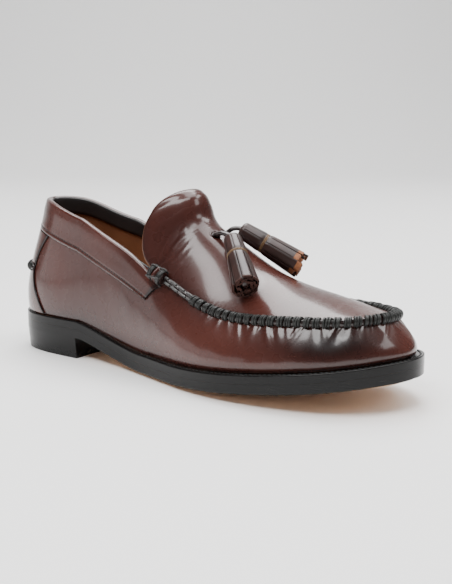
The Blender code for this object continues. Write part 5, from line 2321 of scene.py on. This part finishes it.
    def lace(self) -> None:
        """The lace: one thong from head to head, over the leather bridge between its two slots.

        Each half is the spline through the bridge, its slot, a point above the slot and two at the
        tassel's head, carried as a flat tube.
        """
        piece = Piece("lace_thong", Part.LACE, [self.finishes.lace], stands_for=("tassel_lace",))
        bridge, lift = LAST.apron_frame(LAST.slot_station, 0.5)
        for place, turn in zip(self.places, (-1, 1)):
            head, ahead, _, _ = self.axes(place)
            slot, off = LAST.apron_frame(LAST.slot_station, 0.5 + turn * LAST.slot_spread)
            route = np.array(
                (
                    bridge - lift * (self.lace_radius + 2 * self.slot_deep),
                    slot - off * self.slot_deep,
                    slot + off * self.lace_radius + (head - slot) * 0.35,
                    head - ahead * 0.0004,
                    head + ahead * 0.0030,
                )
            )
            stations = np.arange(len(route), dtype=float)
            fine = np.linspace(0, len(route) - 1, 60)
            path = np.stack([open_spline(stations, route[:, axis], fine) for axis in range(3)], axis=-1)
            tube = tube_grid(path, self.lace_radius * self.lace_wide, 16, squash=self.lace_flat)
            piece.add(tube, wrap_columns=True)
        piece.build()

    def build(self) -> None:
        """Make the tassels and their lace."""
        for place in self.places:
            self.fringe(place)
        self.lace()


@dataclass(frozen=True)
class Softbox:
    """A rectangular soft light that faces the shoe.

    Attributes:
        name: The light's name.
        place: Where it hangs.
        size: Its width and height.
        power: Its power in watts.
    """

    name: str
    place: tuple[float, float, float]
    size: tuple[float, float]
    power: float

    def hang(self) -> None:
        """Make the light and turn it to the shoe."""
        light = bpy.data.lights.new(self.name, "AREA")
        light.shape = "RECTANGLE"
        light.size, light.size_y = self.size
        light.energy = self.power
        made = bpy.data.objects.new(self.name, light)
        made.location = self.place
        made.rotation_mode = "QUATERNION"
        made.rotation_quaternion = (Vector((0.0, 0.0, 0.05)) - Vector(self.place)).to_track_quat("-Z", "Y")
        bpy.context.scene.collection.objects.link(made)


@dataclass
class Studio:
    """The pale floor, the soft lights and the camera at the photograph's angle."""

    eye: tuple[float, float, float] = (0.41193, -0.48146, 0.16220)
    frame_share: float = 0.88
    sensor: float = 36.0
    floor_front: float = 2.5
    floor_back: float = 1.6
    floor_half: float = 3.0
    floor_colour: Colour = (0.90, 0.895, 0.89)
    sweep: float = 0.8
    wall_high: float = 3.0
    sky_colour: Colour = (1.0, 0.99, 0.98)
    sky_strength: float = 0.14
    lights: tuple[Softbox, ...] = (
        Softbox("sky", (0.1, 0.35, 1.9), (1.6, 1.2), 40.0),
        Softbox("key", (-0.12, -0.76, 1.27), (1.19, 0.42), 19.5),
        Softbox("low left", (-1.60, -1.35, 0.26), (1.8, 0.44), 3.5),
        Softbox("behind", (0.62, 0.74, 1.15), (0.80, 0.34), 7.5),
        Softbox("ahead", (0.50, -0.45, 1.24), (0.46, 0.34), 4.6),
        Softbox("far ahead", (1.02, 0.24, 0.84), (0.42, 0.34), 2.6),
        Softbox("backdrop", (-0.9, 0.9, 1.9), (1.5, 1.0), 44.0),
    )

    def camera(self) -> None:
        """A camera at the photograph's place, its lens chosen so that the shoe fills the width."""
        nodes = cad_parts.values()
        points = np.concatenate([np.array([corner.co for corner in node.data.vertices]) for node in nodes])
        eye = Vector(self.eye)
        rays = points - np.array(self.eye)
        toward = (CAD_BOX[0] + CAD_BOX[1]) / 2 - eye
        for _ in range(4):
            ahead = np.array(toward.normalized())
            right = unit(np.cross(ahead, (0.0, 0.0, 1.0)))
            above = np.cross(right, ahead)
            across = (rays @ right) / (rays @ ahead)
            height = (rays @ above) / (rays @ ahead)
            middle = right * (across.max() + across.min()) / 2 + above * (height.max() + height.min()) / 2
            toward = Vector(ahead + middle)
        spread = across.max() - across.min()
        camera = bpy.data.cameras.new("camera")
        camera.sensor_width = self.sensor
        camera.lens = self.sensor * self.frame_share * PHOTO_WIDTH / PHOTO_HEIGHT / spread
        made = bpy.data.objects.new("camera", camera)
        made.location = eye
        made.rotation_mode = "QUATERNION"
        made.rotation_quaternion = toward.to_track_quat("-Z", "Y")
        bpy.context.scene.collection.objects.link(made)
        bpy.context.scene.camera = made

    def floor(self) -> None:
        """A plain pale floor that sweeps up behind the shoe.

        Its section runs flat from the camera's side, turns up in a quarter circle and stands as a
        wall; the section is carried straight across the view.
        """
        away = unit(np.array([-self.eye[0], -self.eye[1], 0.0]))
        side = np.array([-away[1], away[0], 0.0])
        turn = np.linspace(0, np.pi / 2, 33)
        bend = self.floor_back + self.sweep * np.sin(turn)
        run = np.concatenate(([-self.floor_front], bend, [self.floor_back + self.sweep]))
        rise = np.concatenate(([0.0], self.sweep * (1 - np.cos(turn)), [self.wall_high]))
        section = run[:, None] * away + rise[:, None] * np.array([0.0, 0.0, 1.0])
        grid = section[:, None] + np.array([-1.0, 1.0])[None, :, None] * self.floor_half * side
        mesh = bpy.data.meshes.new("floor")
        mesh.from_pydata(grid.reshape(-1, 3).tolist(), [], Patch(grid).faces().tolist())
        mesh.shade_smooth()
        floor = bpy.data.objects.new("floor", mesh)
        nodes = NodeTree("pale floor")
        nodes.set_shader(Base_Color=(*self.floor_colour, 1.0), Roughness=0.55)
        mesh.materials.append(nodes.material)
        bpy.context.scene.collection.objects.link(floor)

    def build(self) -> None:
        """Set the floor, lights, world and camera."""
        self.floor()
        for light in self.lights:
            light.hang()
        world = bpy.data.worlds.new("studio")
        world.use_nodes = True
        sky = world.node_tree.nodes["Background"].inputs
        sky["Color"].default_value = (*self.sky_colour, 1.0)
        sky["Strength"].default_value = self.sky_strength
        bpy.context.scene.world = world
        self.camera()


def main() -> None:
    """Build the studio and the shoe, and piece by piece."""
    logging.basicConfig(level=logging.INFO, format="%(name)s %(message)s")
    Studio().build()
    finishes = Finishes()
    Sole(finishes).build()
    upper = Upper(finishes)
    upper.build()
    Seams(finishes, upper).build()
    Tassels(finishes).build()


if __name__ == "__main__":
    main()
